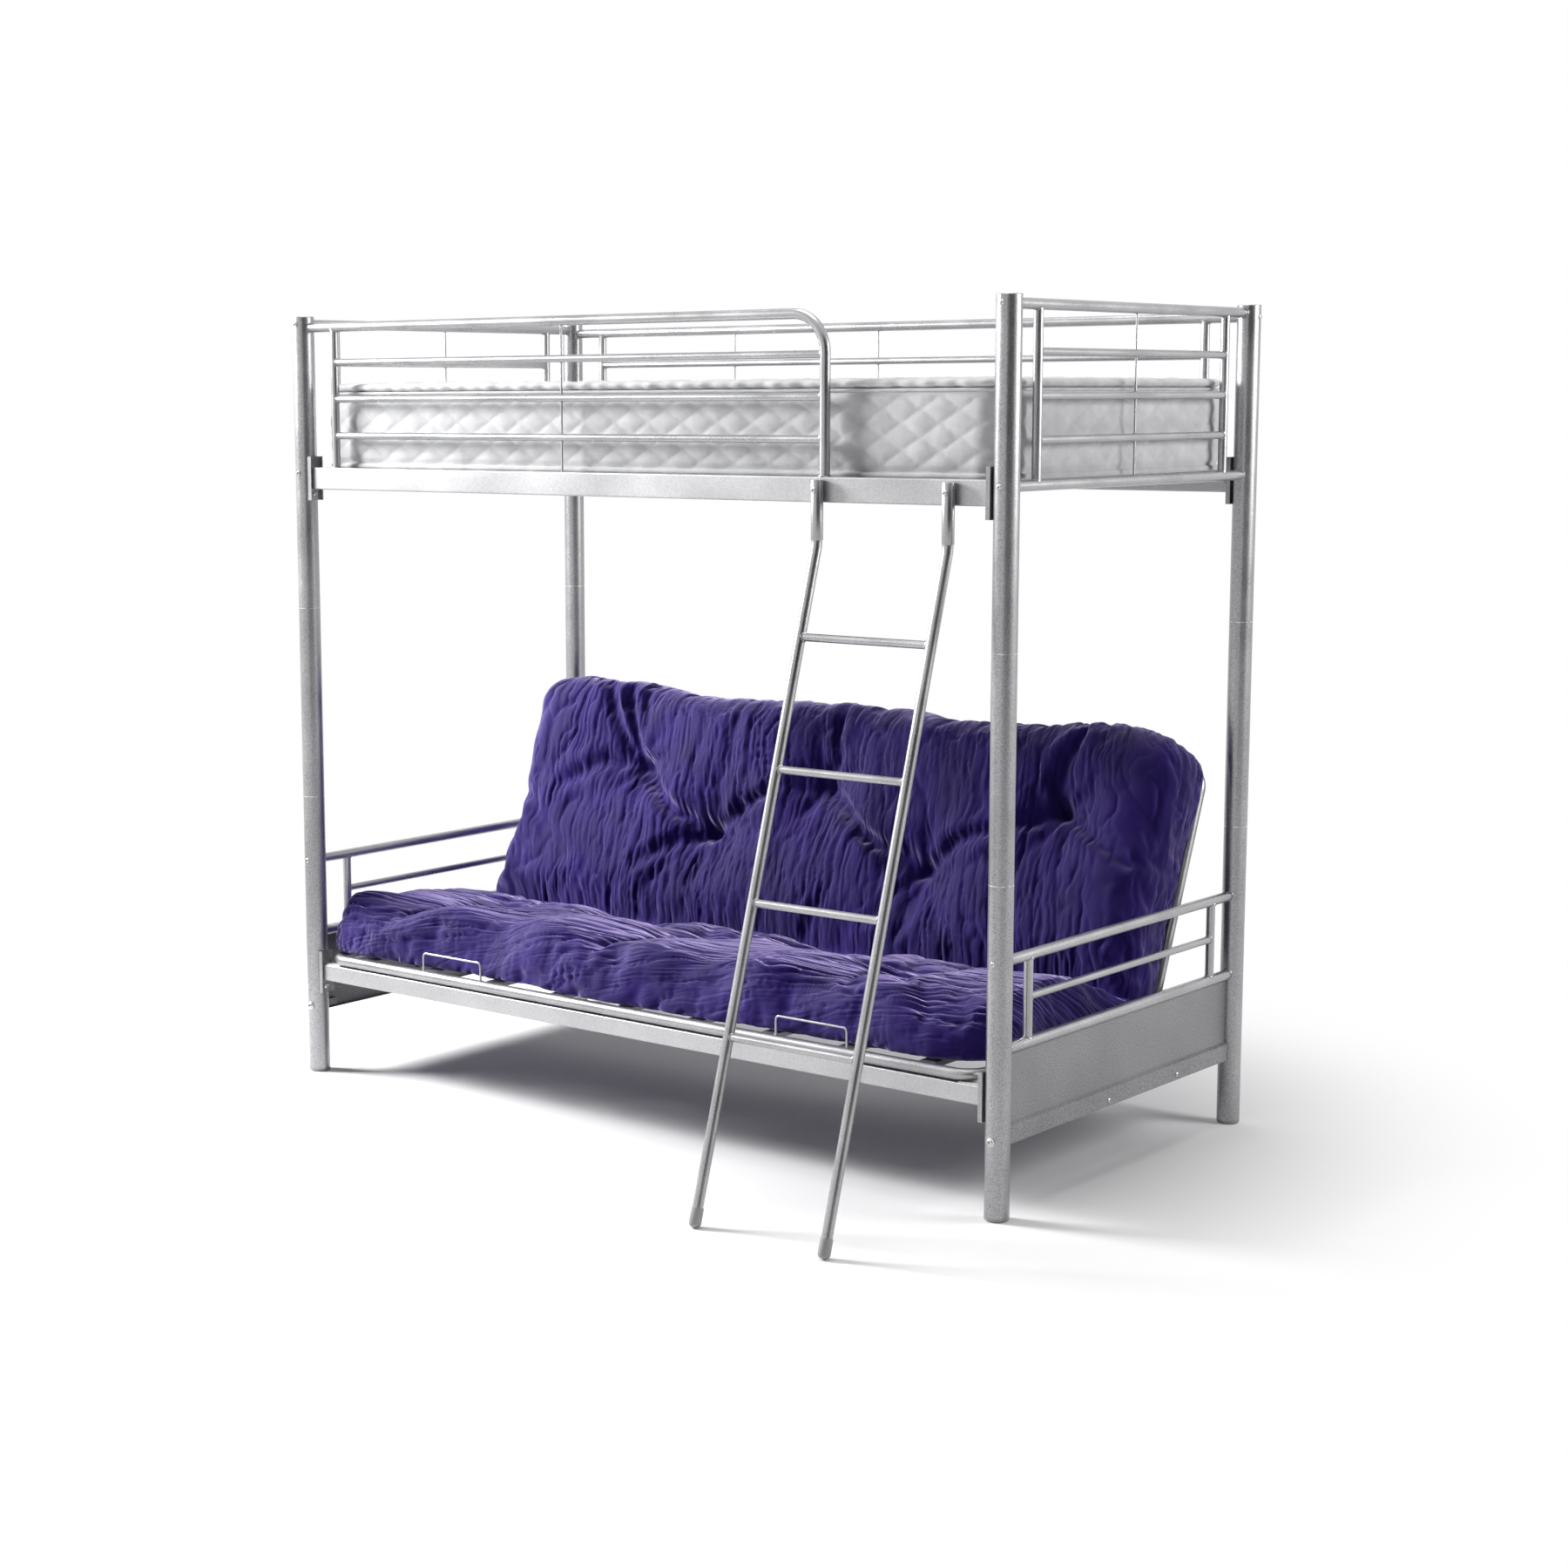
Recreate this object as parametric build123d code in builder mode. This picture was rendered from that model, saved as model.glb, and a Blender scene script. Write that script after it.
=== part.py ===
from build123d import *
import os
from math import atan, cos, degrees, radians, sin, sqrt, tan

os.makedirs("parts", exist_ok=True)

# A single bunk over a pull-out futon, in silver steel tube.
# X runs along the bed, Y from the ladder side to the back, Z up from the floor.
# The origin is on the floor in the middle of the box round the whole bed.

# Bed size, from post axis to post axis
bed_length = 1950.0
bed_depth = 950.0
bed_height = 1809.0

# Clearances shared by the whole bed
weld_gap = 0.2
running_gap = 0.3
drill_clearance = 0.2
overrun = 5.0

# Posts: three lengths of tube each, joined on inner spigots
post_radius = 25.4
post_wall = 1.5
lower_splice_height = 675.0
upper_splice_drop = 281.0
splice_groove = 0.6
spigot_length = 160.0
spigot_clearance = 0.15
plug_sides = 8
disc_sides = 16
foot_height = 8.0
foot_plug_length = 22.0
cap_thickness = 1.4
cap_plug_length = 10.0

# Bolts with square shanks, in square holes
head_sides = 6
frame_bolt_width = 5.6
frame_head_radius = 5.8
frame_head_height = 3.2
head_taper = 28.0
bolt_grip = 12.0
panel_bolt_width = 7.2
panel_head_radius = 7.0
panel_head_height = 4.0
panel_washer_radius = 9.5
panel_washer_thickness = 1.4

# Tubes, rails and wires of the guards and end frames; all but the posts have flats
tube_sides = 12
rail_sides = 8
wire_sides = 6
tube_radius = 11.0
rail_radius = 8.0
upright_radius = 9.5
wire_radius = 2.25
upright_inset = 104.0
end_top_drop = 17.0
end_bottom_rise = 38.0
guard_drop = 9.0
rail_spacing = 84.5
top_rail_drop = 90.0
rail_count = 3
hoop_bend_radius = 78.0

# Side rails of rolled box section, and the pressed channels that hold them
side_rail_width = 25.4
side_rail_wall = 1.5
side_rail_corner = 3.0
upper_rail_drop = 401.0
upper_rail_height = 51.0
lower_rail_bottom = 229.0
lower_rail_height = 39.0
bracket_width = 38.0
bracket_depth = 10.0
bracket_thickness = 2.5
bracket_height = 102.0
bracket_bolt_width = 7.2
bracket_head_radius = 6.8
bracket_head_height = 4.0
bracket_bolt_length = 20.0
bracket_bolt_drop = 36.0

# Slats of the upper bed, lying on a ledge inside each side rail
slat_width = 50.0
slat_height = 12.0
slat_thickness = 1.2
slat_count = 13
slat_end_inset = 105.0
slat_top_drop = 4.0
ledge_width = 16.0
ledge_leg = 16.0
ledge_thickness = 2.0
ledge_end_gap = 5.0

# Upper mattress
mattress_side_gap = 26.0
mattress_end_gap = 25.0
mattress_height = 188.0
mattress_crown = 12.0
mattress_bulge = 9.0
mattress_edge = 34.0

# Armrest ends of the lower bed
arm_height = 520.0
arm_rail_height = 435.0
sill_tube_height = 342.0
sill_tube_radius = 12.5
panel_thickness = 1.5
panel_step_height = 190.0
panel_joggle = 8.0
panel_joggle_drop = 4.0
panel_bottom = 149.0
panel_return = 14.0
panel_bolt_height = 164.0
panel_lug_length = 30.0
panel_lug_height = 16.0

# Guide tracks inside the panels and the blocks that run in them
track_front = 328.0
track_back = 712.0
track_height = 215.0
track_outer = 30.0
track_depth = 20.0
track_thickness = 2.0
track_bolt_height = 161.0
track_bolt_spacing = 285.0
track_bolt_front = 411.0
track_tab_width = 30.0
track_tab_step = 8.0
track_tab_top = 186.0
track_nut_radius = 6.5
track_nut_height = 5.0
block_length = 34.0
block_thickness = 15.0
block_place = 640.0
block_pin_radius = 5.0
leg_width = 40.0
leg_thickness = 4.0
leg_drop = 15.0
leg_setback = 9.0

# Ladder
ladder_stile_radius = 11.0
ladder_sleeve_radius = 12.5
ladder_sleeve_length = 120.0
ladder_sleeve_drop = 6.0
ladder_width = 315.0
ladder_inset = 116.0
ladder_bend_drop = 131.0
ladder_bend_radius = 70.0
ladder_reach = 417.0
ladder_foot_radius = 12.6
ladder_foot_length = 28.0
ladder_foot_nose = 10.5
rung_radius = 8.0
rung_count = 4
bottom_rung_height = 365.0
top_rung_drop = 180.0
ladder_bolt_drop = 20.0
ladder_bolt_length = 37.0

# Futon frame: a seat and a back, hinged together
futon_tube_radius = 12.5
futon_corner_radius = 50.0
futon_side_gap = 54.0
seat_front_setback = -4.0
hinge_place = 690.0
hinge_tube_distance = 40.0
futon_tube_end = 28.0
back_length = 560.0
recline_angle = 68.0
seat_travel = 285.0
glide_thickness = 2.2
glide_length = 46.0
glide_offset = 11.0
futon_slat_width = 40.0
futon_slat_height = 10.0
futon_slat_thickness = 1.2
futon_slat_sink = 2.0
futon_slat_count = 9
futon_slat_inset = 121.0
stop_wire_radius = 2.5
stop_sides = 4
stop_width = 183.0
stop_rise = 41.0
stop_corner = 9.0
stop_inset = 403.0
hinge_inset = 221.0
hinge_ear_radius = 11.0
hinge_ear_thickness = 4.0
hinge_side_gap = 0.5
hinge_pin_radius = 4.0
hinge_pin_clearance = 0.05
hinge_head_radius = 7.0
hinge_head_thickness = 2.5

# Futon mattress, folded between seat and back
futon_mattress_end_gap = 30.0
seat_pad_thickness = 108.0
back_pad_thickness = 132.0
seat_pad_setback = 10.0
back_pad_reach = 640.0
pad_lift = 0.4
pad_fold_gap = 0.4
pad_crown = 10.0
pad_edge = 46.0
tuft_radius = 62.0
tuft_depth = 34.0
tuft_button_radius = 8.0
tuft_sides = 8
tuft_columns = (-600.0, -300.0, 0.0, 300.0, 600.0)
tuft_offset = 50.0
seat_tuft_near = 190.0
seat_tuft_far = 380.0
back_tuft_near = 235.0
back_tuft_far = 405.0

# Places worked out from the sizes above
half_length = bed_length / 2
end_top_height = bed_height - end_top_drop
guard_top_height = end_top_height - guard_drop
upper_rail_bottom = bed_height - upper_rail_drop
upper_rail_top = upper_rail_bottom + upper_rail_height
end_bottom_height = upper_rail_bottom + end_bottom_rise
upper_splice_height = upper_rail_bottom - upper_splice_drop
slat_pitch = (bed_length - 2 * slat_end_inset) / (slat_count - 1)
mattress_half_width = bed_depth / 2 - mattress_side_gap
mattress_half_length = half_length - mattress_end_gap
ladder_sleeve_top = upper_rail_top - ladder_sleeve_drop
ladder_bolt_height = ladder_sleeve_top - ladder_bolt_drop
ladder_bend_height = ladder_sleeve_top - ladder_bend_drop
rung_pitch = (ladder_bend_height - top_rung_drop - bottom_rung_height) / (rung_count - 1)
hoop_place = half_length - ladder_inset - ladder_width
futon_half_width = half_length - futon_side_gap
futon_slat_pitch = 2 * (futon_half_width - futon_slat_inset) / (futon_slat_count - 1)
futon_mattress_half_width = half_length - futon_mattress_end_gap
stop_place = futon_half_width - stop_inset
hinge_spacing = futon_half_width - hinge_inset
back_reach = bed_depth + post_radius + panel_head_height + panel_washer_thickness
ladder_run = ladder_reach - side_rail_width / 2 - weld_gap - ladder_sleeve_radius
ladder_slope = ladder_run / (ladder_bend_height - ladder_foot_radius)
ladder_lean = atan(ladder_slope)
front_reach = ladder_reach + ladder_foot_radius * cos(ladder_lean)
front_y = (front_reach - back_reach) / 2
back_y = front_y + bed_depth
middle_y = (front_y + back_y) / 2
post_places = {
    "front_left": (-half_length, front_y),
    "front_right": (half_length, front_y),
    "back_left": (-half_length, back_y),
    "back_right": (half_length, back_y),
}
upright_front_y = front_y + upright_inset
upright_back_y = back_y - upright_inset
rail_heights = [end_top_height - top_rail_drop - rail_spacing * step for step in range(rail_count)]
guard_left_x = -half_length + upright_inset
guard_right_x = half_length - upright_inset
lower_rail_top = lower_rail_bottom + lower_rail_height
bracket_face_x = half_length - post_radius - weld_gap
rail_end_x = bracket_face_x - bracket_thickness
upper_bracket_bottom = upper_rail_bottom + upper_rail_height / 2 - bracket_height / 2
lower_bracket_bottom = lower_rail_bottom + lower_rail_height / 2 - bracket_height / 2
front_wire_x = (guard_left_x + hoop_place) / 2
stile_places = {"left": hoop_place, "right": hoop_place + ladder_width}
back_wire_pitch = (guard_right_x - guard_left_x) / 4
back_wire_places = [(way * back_wire_pitch, back_y) for way in (-1, 0, 1)]


def save(piece, label):
    """Name one finished sub-part and write it to its own file."""
    piece.label = label
    export_step(piece, f"parts/{label}.step")


def face_front(x, y, z):
    """Plane on the ladder side of a post, looking out along -Y."""
    return Plane(origin=(x, y, z), x_dir=(1, 0, 0), z_dir=(0, -1, 0))


def face_back(x, y, z):
    """Plane on the wall side of a post, looking out along +Y."""
    return Plane(origin=(x, y, z), x_dir=(-1, 0, 0), z_dir=(0, 1, 0))


def face_side(x, y, z, way):
    """Plane looking out along +X or -X."""
    return Plane(origin=(x, y, z), x_dir=(0, way, 0), z_dir=(way, 0, 0))


def bolt_group(planes, shank_width, shank_length, head_radius, head_height, washer=None):
    """Bolts whose heads, or the washers under them, sit on the given planes."""
    lift = washer[1] if washer else 0
    with BuildPart() as bolts:
        if washer:
            with BuildSketch(*planes):
                RegularPolygon(radius=washer[0], side_count=plug_sides)
            extrude(amount=lift)
        with BuildSketch(*[plane.offset(lift) for plane in planes]):
            RegularPolygon(radius=head_radius, side_count=head_sides)
        extrude(amount=head_height, taper=head_taper)
        with BuildSketch(*planes):
            Rectangle(shank_width, shank_width)
        extrude(amount=-shank_length)
    return bolts.part


def bolt_holes(planes, shank_width, depth):
    """The holes for such bolts, cut back from the given planes."""
    hole_width = shank_width + drill_clearance
    with BuildPart() as holes:
        with BuildSketch(*[plane.offset(overrun) for plane in planes]):
            Rectangle(hole_width, hole_width)
        extrude(amount=-depth - overrun)
    return holes.part


# Ladder bolts: the plane under each head, on the sleeve's front
ladder_y = front_y - side_rail_width / 2 - weld_gap - ladder_sleeve_radius
ladder_bolt_planes = [
    face_front(x, ladder_y - ladder_sleeve_radius, ladder_bolt_height) for x in stile_places.values()
]
ladder_holes = bolt_holes(ladder_bolt_planes, frame_bolt_width, ladder_bolt_length + drill_clearance)

# Where every bolt of the posts goes: the plane under its head or its washer
frame_bolt_planes = []
guard_bolt_planes = []
panel_bolt_planes = []
bracket_bolt_planes = []
for corner, (post_x, post_y) in post_places.items():
    face = face_front if post_y == front_y else face_back
    outer_y = post_y - post_radius if post_y == front_y else post_y + post_radius
    outward = 1 if post_x > 0 else -1
    for height in (end_top_height, end_bottom_height, arm_height):
        frame_bolt_planes.append(face(post_x, outer_y, height))
    panel_bolt_planes.append(face(post_x, outer_y, panel_bolt_height))
    if corner != "front_right":
        outer_x = post_x + outward * post_radius
        guard_bolt_planes.append(face_side(outer_x, post_y, guard_top_height, outward))
    for bracket_bottom in (upper_bracket_bottom, lower_bracket_bottom):
        height = bracket_bottom + bracket_height / 2 - bracket_bolt_drop
        bracket_bolt_planes.append(face_side(outward * rail_end_x, post_y, height, -outward))
frame_bolt_length = 2 * post_radius + bolt_grip
frame_bolt_planes += guard_bolt_planes
frame_hole_depth = frame_bolt_length + drill_clearance
bracket_hole_depth = bracket_bolt_length + drill_clearance
frame_holes = bolt_holes(frame_bolt_planes, frame_bolt_width, frame_hole_depth)
panel_holes = bolt_holes(panel_bolt_planes, panel_bolt_width, frame_hole_depth)
bracket_holes = bolt_holes(bracket_bolt_planes, bracket_bolt_width, bracket_hole_depth)

save(
    bolt_group(
        frame_bolt_planes, frame_bolt_width, frame_bolt_length, frame_head_radius, frame_head_height
    ),
    "frame_bolts",
)
save(
    bolt_group(
        panel_bolt_planes, panel_bolt_width, frame_bolt_length,
        panel_head_radius, panel_head_height, (panel_washer_radius, panel_washer_thickness),
    ),
    "panel_bolts",
)
save(
    bolt_group(
        bracket_bolt_planes, bracket_bolt_width, bracket_bolt_length,
        bracket_head_radius, bracket_head_height,
    ),
    "bracket_bolts",
)

# Posts, lower and upper lengths, drilled for the bolts
for corner, (post_x, post_y) in post_places.items():
    for level in ("lower", "upper"):
        bottom = foot_height if level == "lower" else upper_splice_height + splice_groove / 2
        top = lower_splice_height - splice_groove / 2 if level == "lower" else bed_height - cap_thickness
        with BuildPart() as post:
            with BuildSketch(Plane.XY.offset(bottom)):
                with Locations((post_x, post_y)):
                    Circle(post_radius)
                    RegularPolygon(radius=post_radius - post_wall, side_count=plug_sides, mode=Mode.SUBTRACT)
            extrude(amount=top - bottom)
            add(frame_holes, mode=Mode.SUBTRACT)
            add(panel_holes, mode=Mode.SUBTRACT)
            add(bracket_holes, mode=Mode.SUBTRACT)
        save(post.part, f"{corner}_post_{level}")

# Posts, middle lengths: four alike
with BuildPart() as post_middles:
    with BuildSketch(Plane.XY.offset(lower_splice_height + splice_groove / 2)):
        with Locations(*post_places.values()):
            Circle(post_radius)
            RegularPolygon(radius=post_radius - post_wall, side_count=plug_sides, mode=Mode.SUBTRACT)
    extrude(amount=upper_splice_height - lower_splice_height - splice_groove)
save(post_middles.part, "post_middles")

# Spigots inside the posts at both splices; bore and spigot have matching flats
spigot_radius = post_radius - post_wall - spigot_clearance
with BuildPart() as post_spigots:
    for splice in (lower_splice_height, upper_splice_height):
        with BuildSketch(Plane.XY.offset(splice - spigot_length / 2)):
            with Locations(*post_places.values()):
                RegularPolygon(radius=spigot_radius, side_count=plug_sides)
        extrude(amount=spigot_length)
save(post_spigots.part, "post_spigots")

# Post feet: flat discs with a plug above
with BuildPart() as post_feet:
    with BuildSketch(Plane.XY):
        with Locations(*post_places.values()):
            RegularPolygon(radius=post_radius, side_count=disc_sides)
    extrude(amount=foot_height)
    with BuildSketch(Plane.XY.offset(foot_height)):
        with Locations(*post_places.values()):
            RegularPolygon(radius=spigot_radius, side_count=plug_sides)
    extrude(amount=foot_plug_length)
save(post_feet.part, "post_feet")

# Post caps: thin discs with a plug below
with BuildPart() as post_caps:
    with BuildSketch(Plane.XY.offset(bed_height - cap_thickness)):
        with Locations(*post_places.values()):
            RegularPolygon(radius=post_radius, side_count=disc_sides)
    extrude(amount=cap_thickness)
    with BuildSketch(Plane.XY.offset(bed_height - cap_thickness)):
        with Locations(*post_places.values()):
            RegularPolygon(radius=spigot_radius, side_count=plug_sides)
    extrude(amount=-cap_plug_length)
save(post_caps.part, "post_caps")

# Room that the four posts take in whatever is fitted between them
with BuildPart() as post_room:
    with BuildSketch(Plane.XY):
        with Locations(*post_places.values()):
            Circle(post_radius)
    extrude(amount=bed_height)
post_space = post_room.part


def end_frame(x, tubes, rails, uprights):
    """Welded end frame: tubes from post to post, uprights, and rails between these."""
    bottom = min(height for height, radius in tubes)
    top = max(height for height, radius in tubes)
    with BuildPart() as piece:
        with BuildSketch(Plane.XZ.offset(-front_y)):
            for height, radius in tubes:
                with Locations((x, height)):
                    RegularPolygon(radius=radius, side_count=tube_sides)
        extrude(amount=-bed_depth)
        with BuildSketch(Plane.XY.offset(bottom)):
            with Locations(*[(x, y) for y in uprights]):
                RegularPolygon(radius=upright_radius, side_count=rail_sides)
        extrude(amount=top - bottom)
        with BuildSketch(Plane.XZ.offset(-uprights[0])):
            with Locations(*[(x, height) for height in rails]):
                RegularPolygon(radius=rail_radius, side_count=rail_sides)
        extrude(amount=uprights[0] - uprights[1])
        add(post_space, mode=Mode.SUBTRACT)
        add(frame_holes, mode=Mode.SUBTRACT)
    return piece.part


# Upper end frames, each with one wire through the middle of its rails
for side, end_x in (("left", -half_length), ("right", half_length)):
    upper_tubes = ((end_top_height, tube_radius), (end_bottom_height, tube_radius))
    upper_frame = end_frame(end_x, upper_tubes, rail_heights, (upright_front_y, upright_back_y))
    with BuildPart() as upper_end_frame:
        add(upper_frame)
        with BuildSketch(Plane.XY.offset(end_bottom_height)):
            with Locations((end_x, middle_y)):
                RegularPolygon(radius=wire_radius, side_count=wire_sides)
        extrude(amount=end_top_height - end_bottom_height)
    save(upper_end_frame.part, f"upper_{side}_end_frame")

# Front guard: one tube from the post, bent down on to the side rail, with an
# upright by the post, small rails between the two, and one wire through these
with BuildPart() as front_guard:
    with BuildLine(Plane.XZ.offset(-front_y)) as hoop_line:
        FilletPolyline(
            (-half_length, guard_top_height),
            (hoop_place, guard_top_height),
            (hoop_place, upper_rail_top),
            radius=hoop_bend_radius,
        )
    with BuildSketch(Plane(origin=(-half_length, front_y, guard_top_height), z_dir=(1, 0, 0))):
        RegularPolygon(radius=tube_radius, side_count=tube_sides)
    sweep(path=hoop_line.wires()[0])
    with BuildSketch(Plane.XY.offset(upper_rail_top)):
        with Locations((guard_left_x, front_y)):
            RegularPolygon(radius=upright_radius, side_count=rail_sides)
    extrude(amount=guard_top_height - upper_rail_top)
    with BuildSketch(Plane.XY.offset(upper_rail_top)):
        with Locations((front_wire_x, front_y)):
            RegularPolygon(radius=wire_radius, side_count=wire_sides)
    extrude(amount=guard_top_height - upper_rail_top)
    with BuildSketch(Plane.YZ.offset(guard_left_x)):
        with Locations(*[(front_y, height) for height in rail_heights]):
            RegularPolygon(radius=rail_radius, side_count=rail_sides)
    extrude(amount=hoop_place - guard_left_x)
    add(post_space, mode=Mode.SUBTRACT)
    add(frame_holes, mode=Mode.SUBTRACT)
save(front_guard.part, "front_guard")

# Back guard: top tube between the back posts, two uprights, small rails, three wires
with BuildPart() as back_guard:
    with BuildSketch(Plane.YZ.offset(-half_length)):
        with Locations((back_y, guard_top_height)):
            RegularPolygon(radius=tube_radius, side_count=tube_sides)
    extrude(amount=bed_length)
    with BuildSketch(Plane.XY.offset(upper_rail_top)):
        with Locations((guard_left_x, back_y), (guard_right_x, back_y)):
            RegularPolygon(radius=upright_radius, side_count=rail_sides)
        with Locations(*back_wire_places):
            RegularPolygon(radius=wire_radius, side_count=wire_sides)
    extrude(amount=guard_top_height - upper_rail_top)
    with BuildSketch(Plane.YZ.offset(guard_left_x)):
        with Locations(*[(back_y, height) for height in rail_heights]):
            RegularPolygon(radius=rail_radius, side_count=rail_sides)
    extrude(amount=guard_right_x - guard_left_x)
    add(post_space, mode=Mode.SUBTRACT)
    add(frame_holes, mode=Mode.SUBTRACT)
save(back_guard.part, "back_guard")

# Side rails of the upper bed, each with a ledge for the slats
slat_bottom = upper_rail_top - slat_top_drop - slat_height
ledge_end_x = bracket_face_x - bracket_depth - ledge_end_gap
for name, rail_y, inward in (("front", front_y, 1), ("back", back_y, -1)):
    ledge_y = rail_y + inward * side_rail_width / 2
    with BuildPart() as upper_side_rail:
        with BuildSketch(Plane.YZ.offset(-rail_end_x)):
            with Locations((rail_y, upper_rail_bottom + upper_rail_height / 2)):
                RectangleRounded(side_rail_width, upper_rail_height, side_rail_corner)
                Rectangle(
                    side_rail_width - 2 * side_rail_wall,
                    upper_rail_height - 2 * side_rail_wall,
                    mode=Mode.SUBTRACT,
                )
        extrude(amount=2 * rail_end_x)
        with BuildSketch(Plane.YZ.offset(-ledge_end_x)):
            with Locations((ledge_y + inward * ledge_width / 2, slat_bottom - ledge_thickness / 2)):
                Rectangle(ledge_width, ledge_thickness)
            with Locations((ledge_y + inward * ledge_thickness / 2, slat_bottom - ledge_leg / 2)):
                Rectangle(ledge_thickness, ledge_leg)
        extrude(amount=2 * ledge_end_x)
        # the ladder's bolts pass through the front wall
        if name == "front":
            add(ladder_holes, mode=Mode.SUBTRACT)
    save(upper_side_rail.part, f"upper_{name}_rail")

# Slats of the upper bed: pressed steel channels, open below
slat_length = bed_depth - side_rail_width - 2 * running_gap
with BuildPart() as upper_slats:
    with BuildSketch(Plane.XZ.offset(-(front_y + side_rail_width / 2 + running_gap))):
        with Locations((0, slat_bottom + slat_height / 2)):
            with GridLocations(slat_pitch, slat_height, slat_count, 1):
                Rectangle(slat_width, slat_height)
        with Locations((0, slat_bottom + (slat_height - slat_thickness) / 2)):
            with GridLocations(slat_pitch, slat_height, slat_count, 1):
                Rectangle(
                    slat_width - 2 * slat_thickness,
                    slat_height - slat_thickness,
                    mode=Mode.SUBTRACT,
                )
    extrude(amount=-slat_length)
save(upper_slats.part, "upper_slats")

# Side rails of the lower bed
for name, rail_y in (("front", front_y), ("back", back_y)):
    with BuildPart() as lower_side_rail:
        with BuildSketch(Plane.YZ.offset(-rail_end_x)):
            with Locations((rail_y, lower_rail_bottom + lower_rail_height / 2)):
                RectangleRounded(side_rail_width, lower_rail_height, side_rail_corner)
                Rectangle(
                    side_rail_width - 2 * side_rail_wall,
                    lower_rail_height - 2 * side_rail_wall,
                    mode=Mode.SUBTRACT,
                )
        extrude(amount=2 * rail_end_x)
    save(lower_side_rail.part, f"lower_{name}_rail")

# Pressed channels welded to the ends of the side rails
for level, bracket_bottom in (("upper", upper_bracket_bottom), ("lower", lower_bracket_bottom)):
    inner_depth = bracket_depth - bracket_thickness
    with BuildPart() as rail_brackets:
        with BuildSketch(Plane.XY.offset(bracket_bottom)):
            for way in (-1, 1):
                channel_x = way * (bracket_face_x - bracket_depth / 2)
                hollow_x = way * (rail_end_x - inner_depth / 2)
                with Locations((channel_x, front_y), (channel_x, back_y)):
                    Rectangle(bracket_depth, bracket_width)
                with Locations((hollow_x, front_y), (hollow_x, back_y)):
                    Rectangle(inner_depth, bracket_width - 2 * bracket_thickness, mode=Mode.SUBTRACT)
        extrude(amount=bracket_height)
        add(bracket_holes, mode=Mode.SUBTRACT)
    save(rail_brackets.part, f"{level}_rail_brackets")

# Armrest ends: arm tube, sill tube, two uprights and one small rail, welded together
for side, end_x in (("left", -half_length), ("right", half_length)):
    arm_tubes = ((arm_height, tube_radius), (sill_tube_height, sill_tube_radius))
    arm_frame = end_frame(end_x, arm_tubes, (arm_rail_height,), (upright_front_y, upright_back_y))
    save(arm_frame, f"{side}_arm_frame")

# Armrest ends: pressed sheet panel, stepped outward at the foot, with a lug at each post
panel_half = panel_thickness / 2
strip_x = half_length + panel_joggle
tab_places = (front_y + track_bolt_front, front_y + track_bolt_front + track_bolt_spacing)
track_bolt_planes = [
    face_side(way * (strip_x + panel_half), place, track_bolt_height, way)
    for way in (-1, 1)
    for place in tab_places
]
track_bolt_length = panel_thickness + track_thickness + track_nut_height
track_holes = bolt_holes(track_bolt_planes, frame_bolt_width, track_bolt_length + overrun)
for side, way in (("left", -1), ("right", 1)):
    outline = (
        (half_length + panel_half, sill_tube_height - sill_tube_radius),
        (half_length + panel_half, panel_step_height),
        (strip_x + panel_half, panel_step_height - panel_joggle_drop),
        (strip_x + panel_half, panel_bottom),
        (strip_x - panel_return, panel_bottom),
        (strip_x - panel_return, panel_bottom + panel_thickness),
        (strip_x - panel_half, panel_bottom + panel_thickness),
        (strip_x - panel_half, panel_step_height - panel_joggle_drop - panel_thickness),
        (half_length - panel_half, panel_step_height - panel_thickness),
        (half_length - panel_half, sill_tube_height - sill_tube_radius),
    )
    with BuildPart() as end_panel:
        with BuildSketch(Plane.XZ.offset(-front_y)):
            with BuildLine():
                Polyline(*[(way * x, z) for x, z in outline], close=True)
            make_face()
        extrude(amount=-bed_depth)
        for lug_y in (front_y, back_y - post_radius - panel_lug_length):
            with BuildSketch(Plane.XZ.offset(-lug_y)):
                with Locations((way * half_length, panel_bolt_height)):
                    Rectangle(2 * panel_joggle, panel_lug_height)
            extrude(amount=-(post_radius + panel_lug_length))
        add(post_space, mode=Mode.SUBTRACT)
        add(panel_holes, mode=Mode.SUBTRACT)
        add(track_holes, mode=Mode.SUBTRACT)
    save(end_panel.part, f"{side}_panel")

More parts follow.
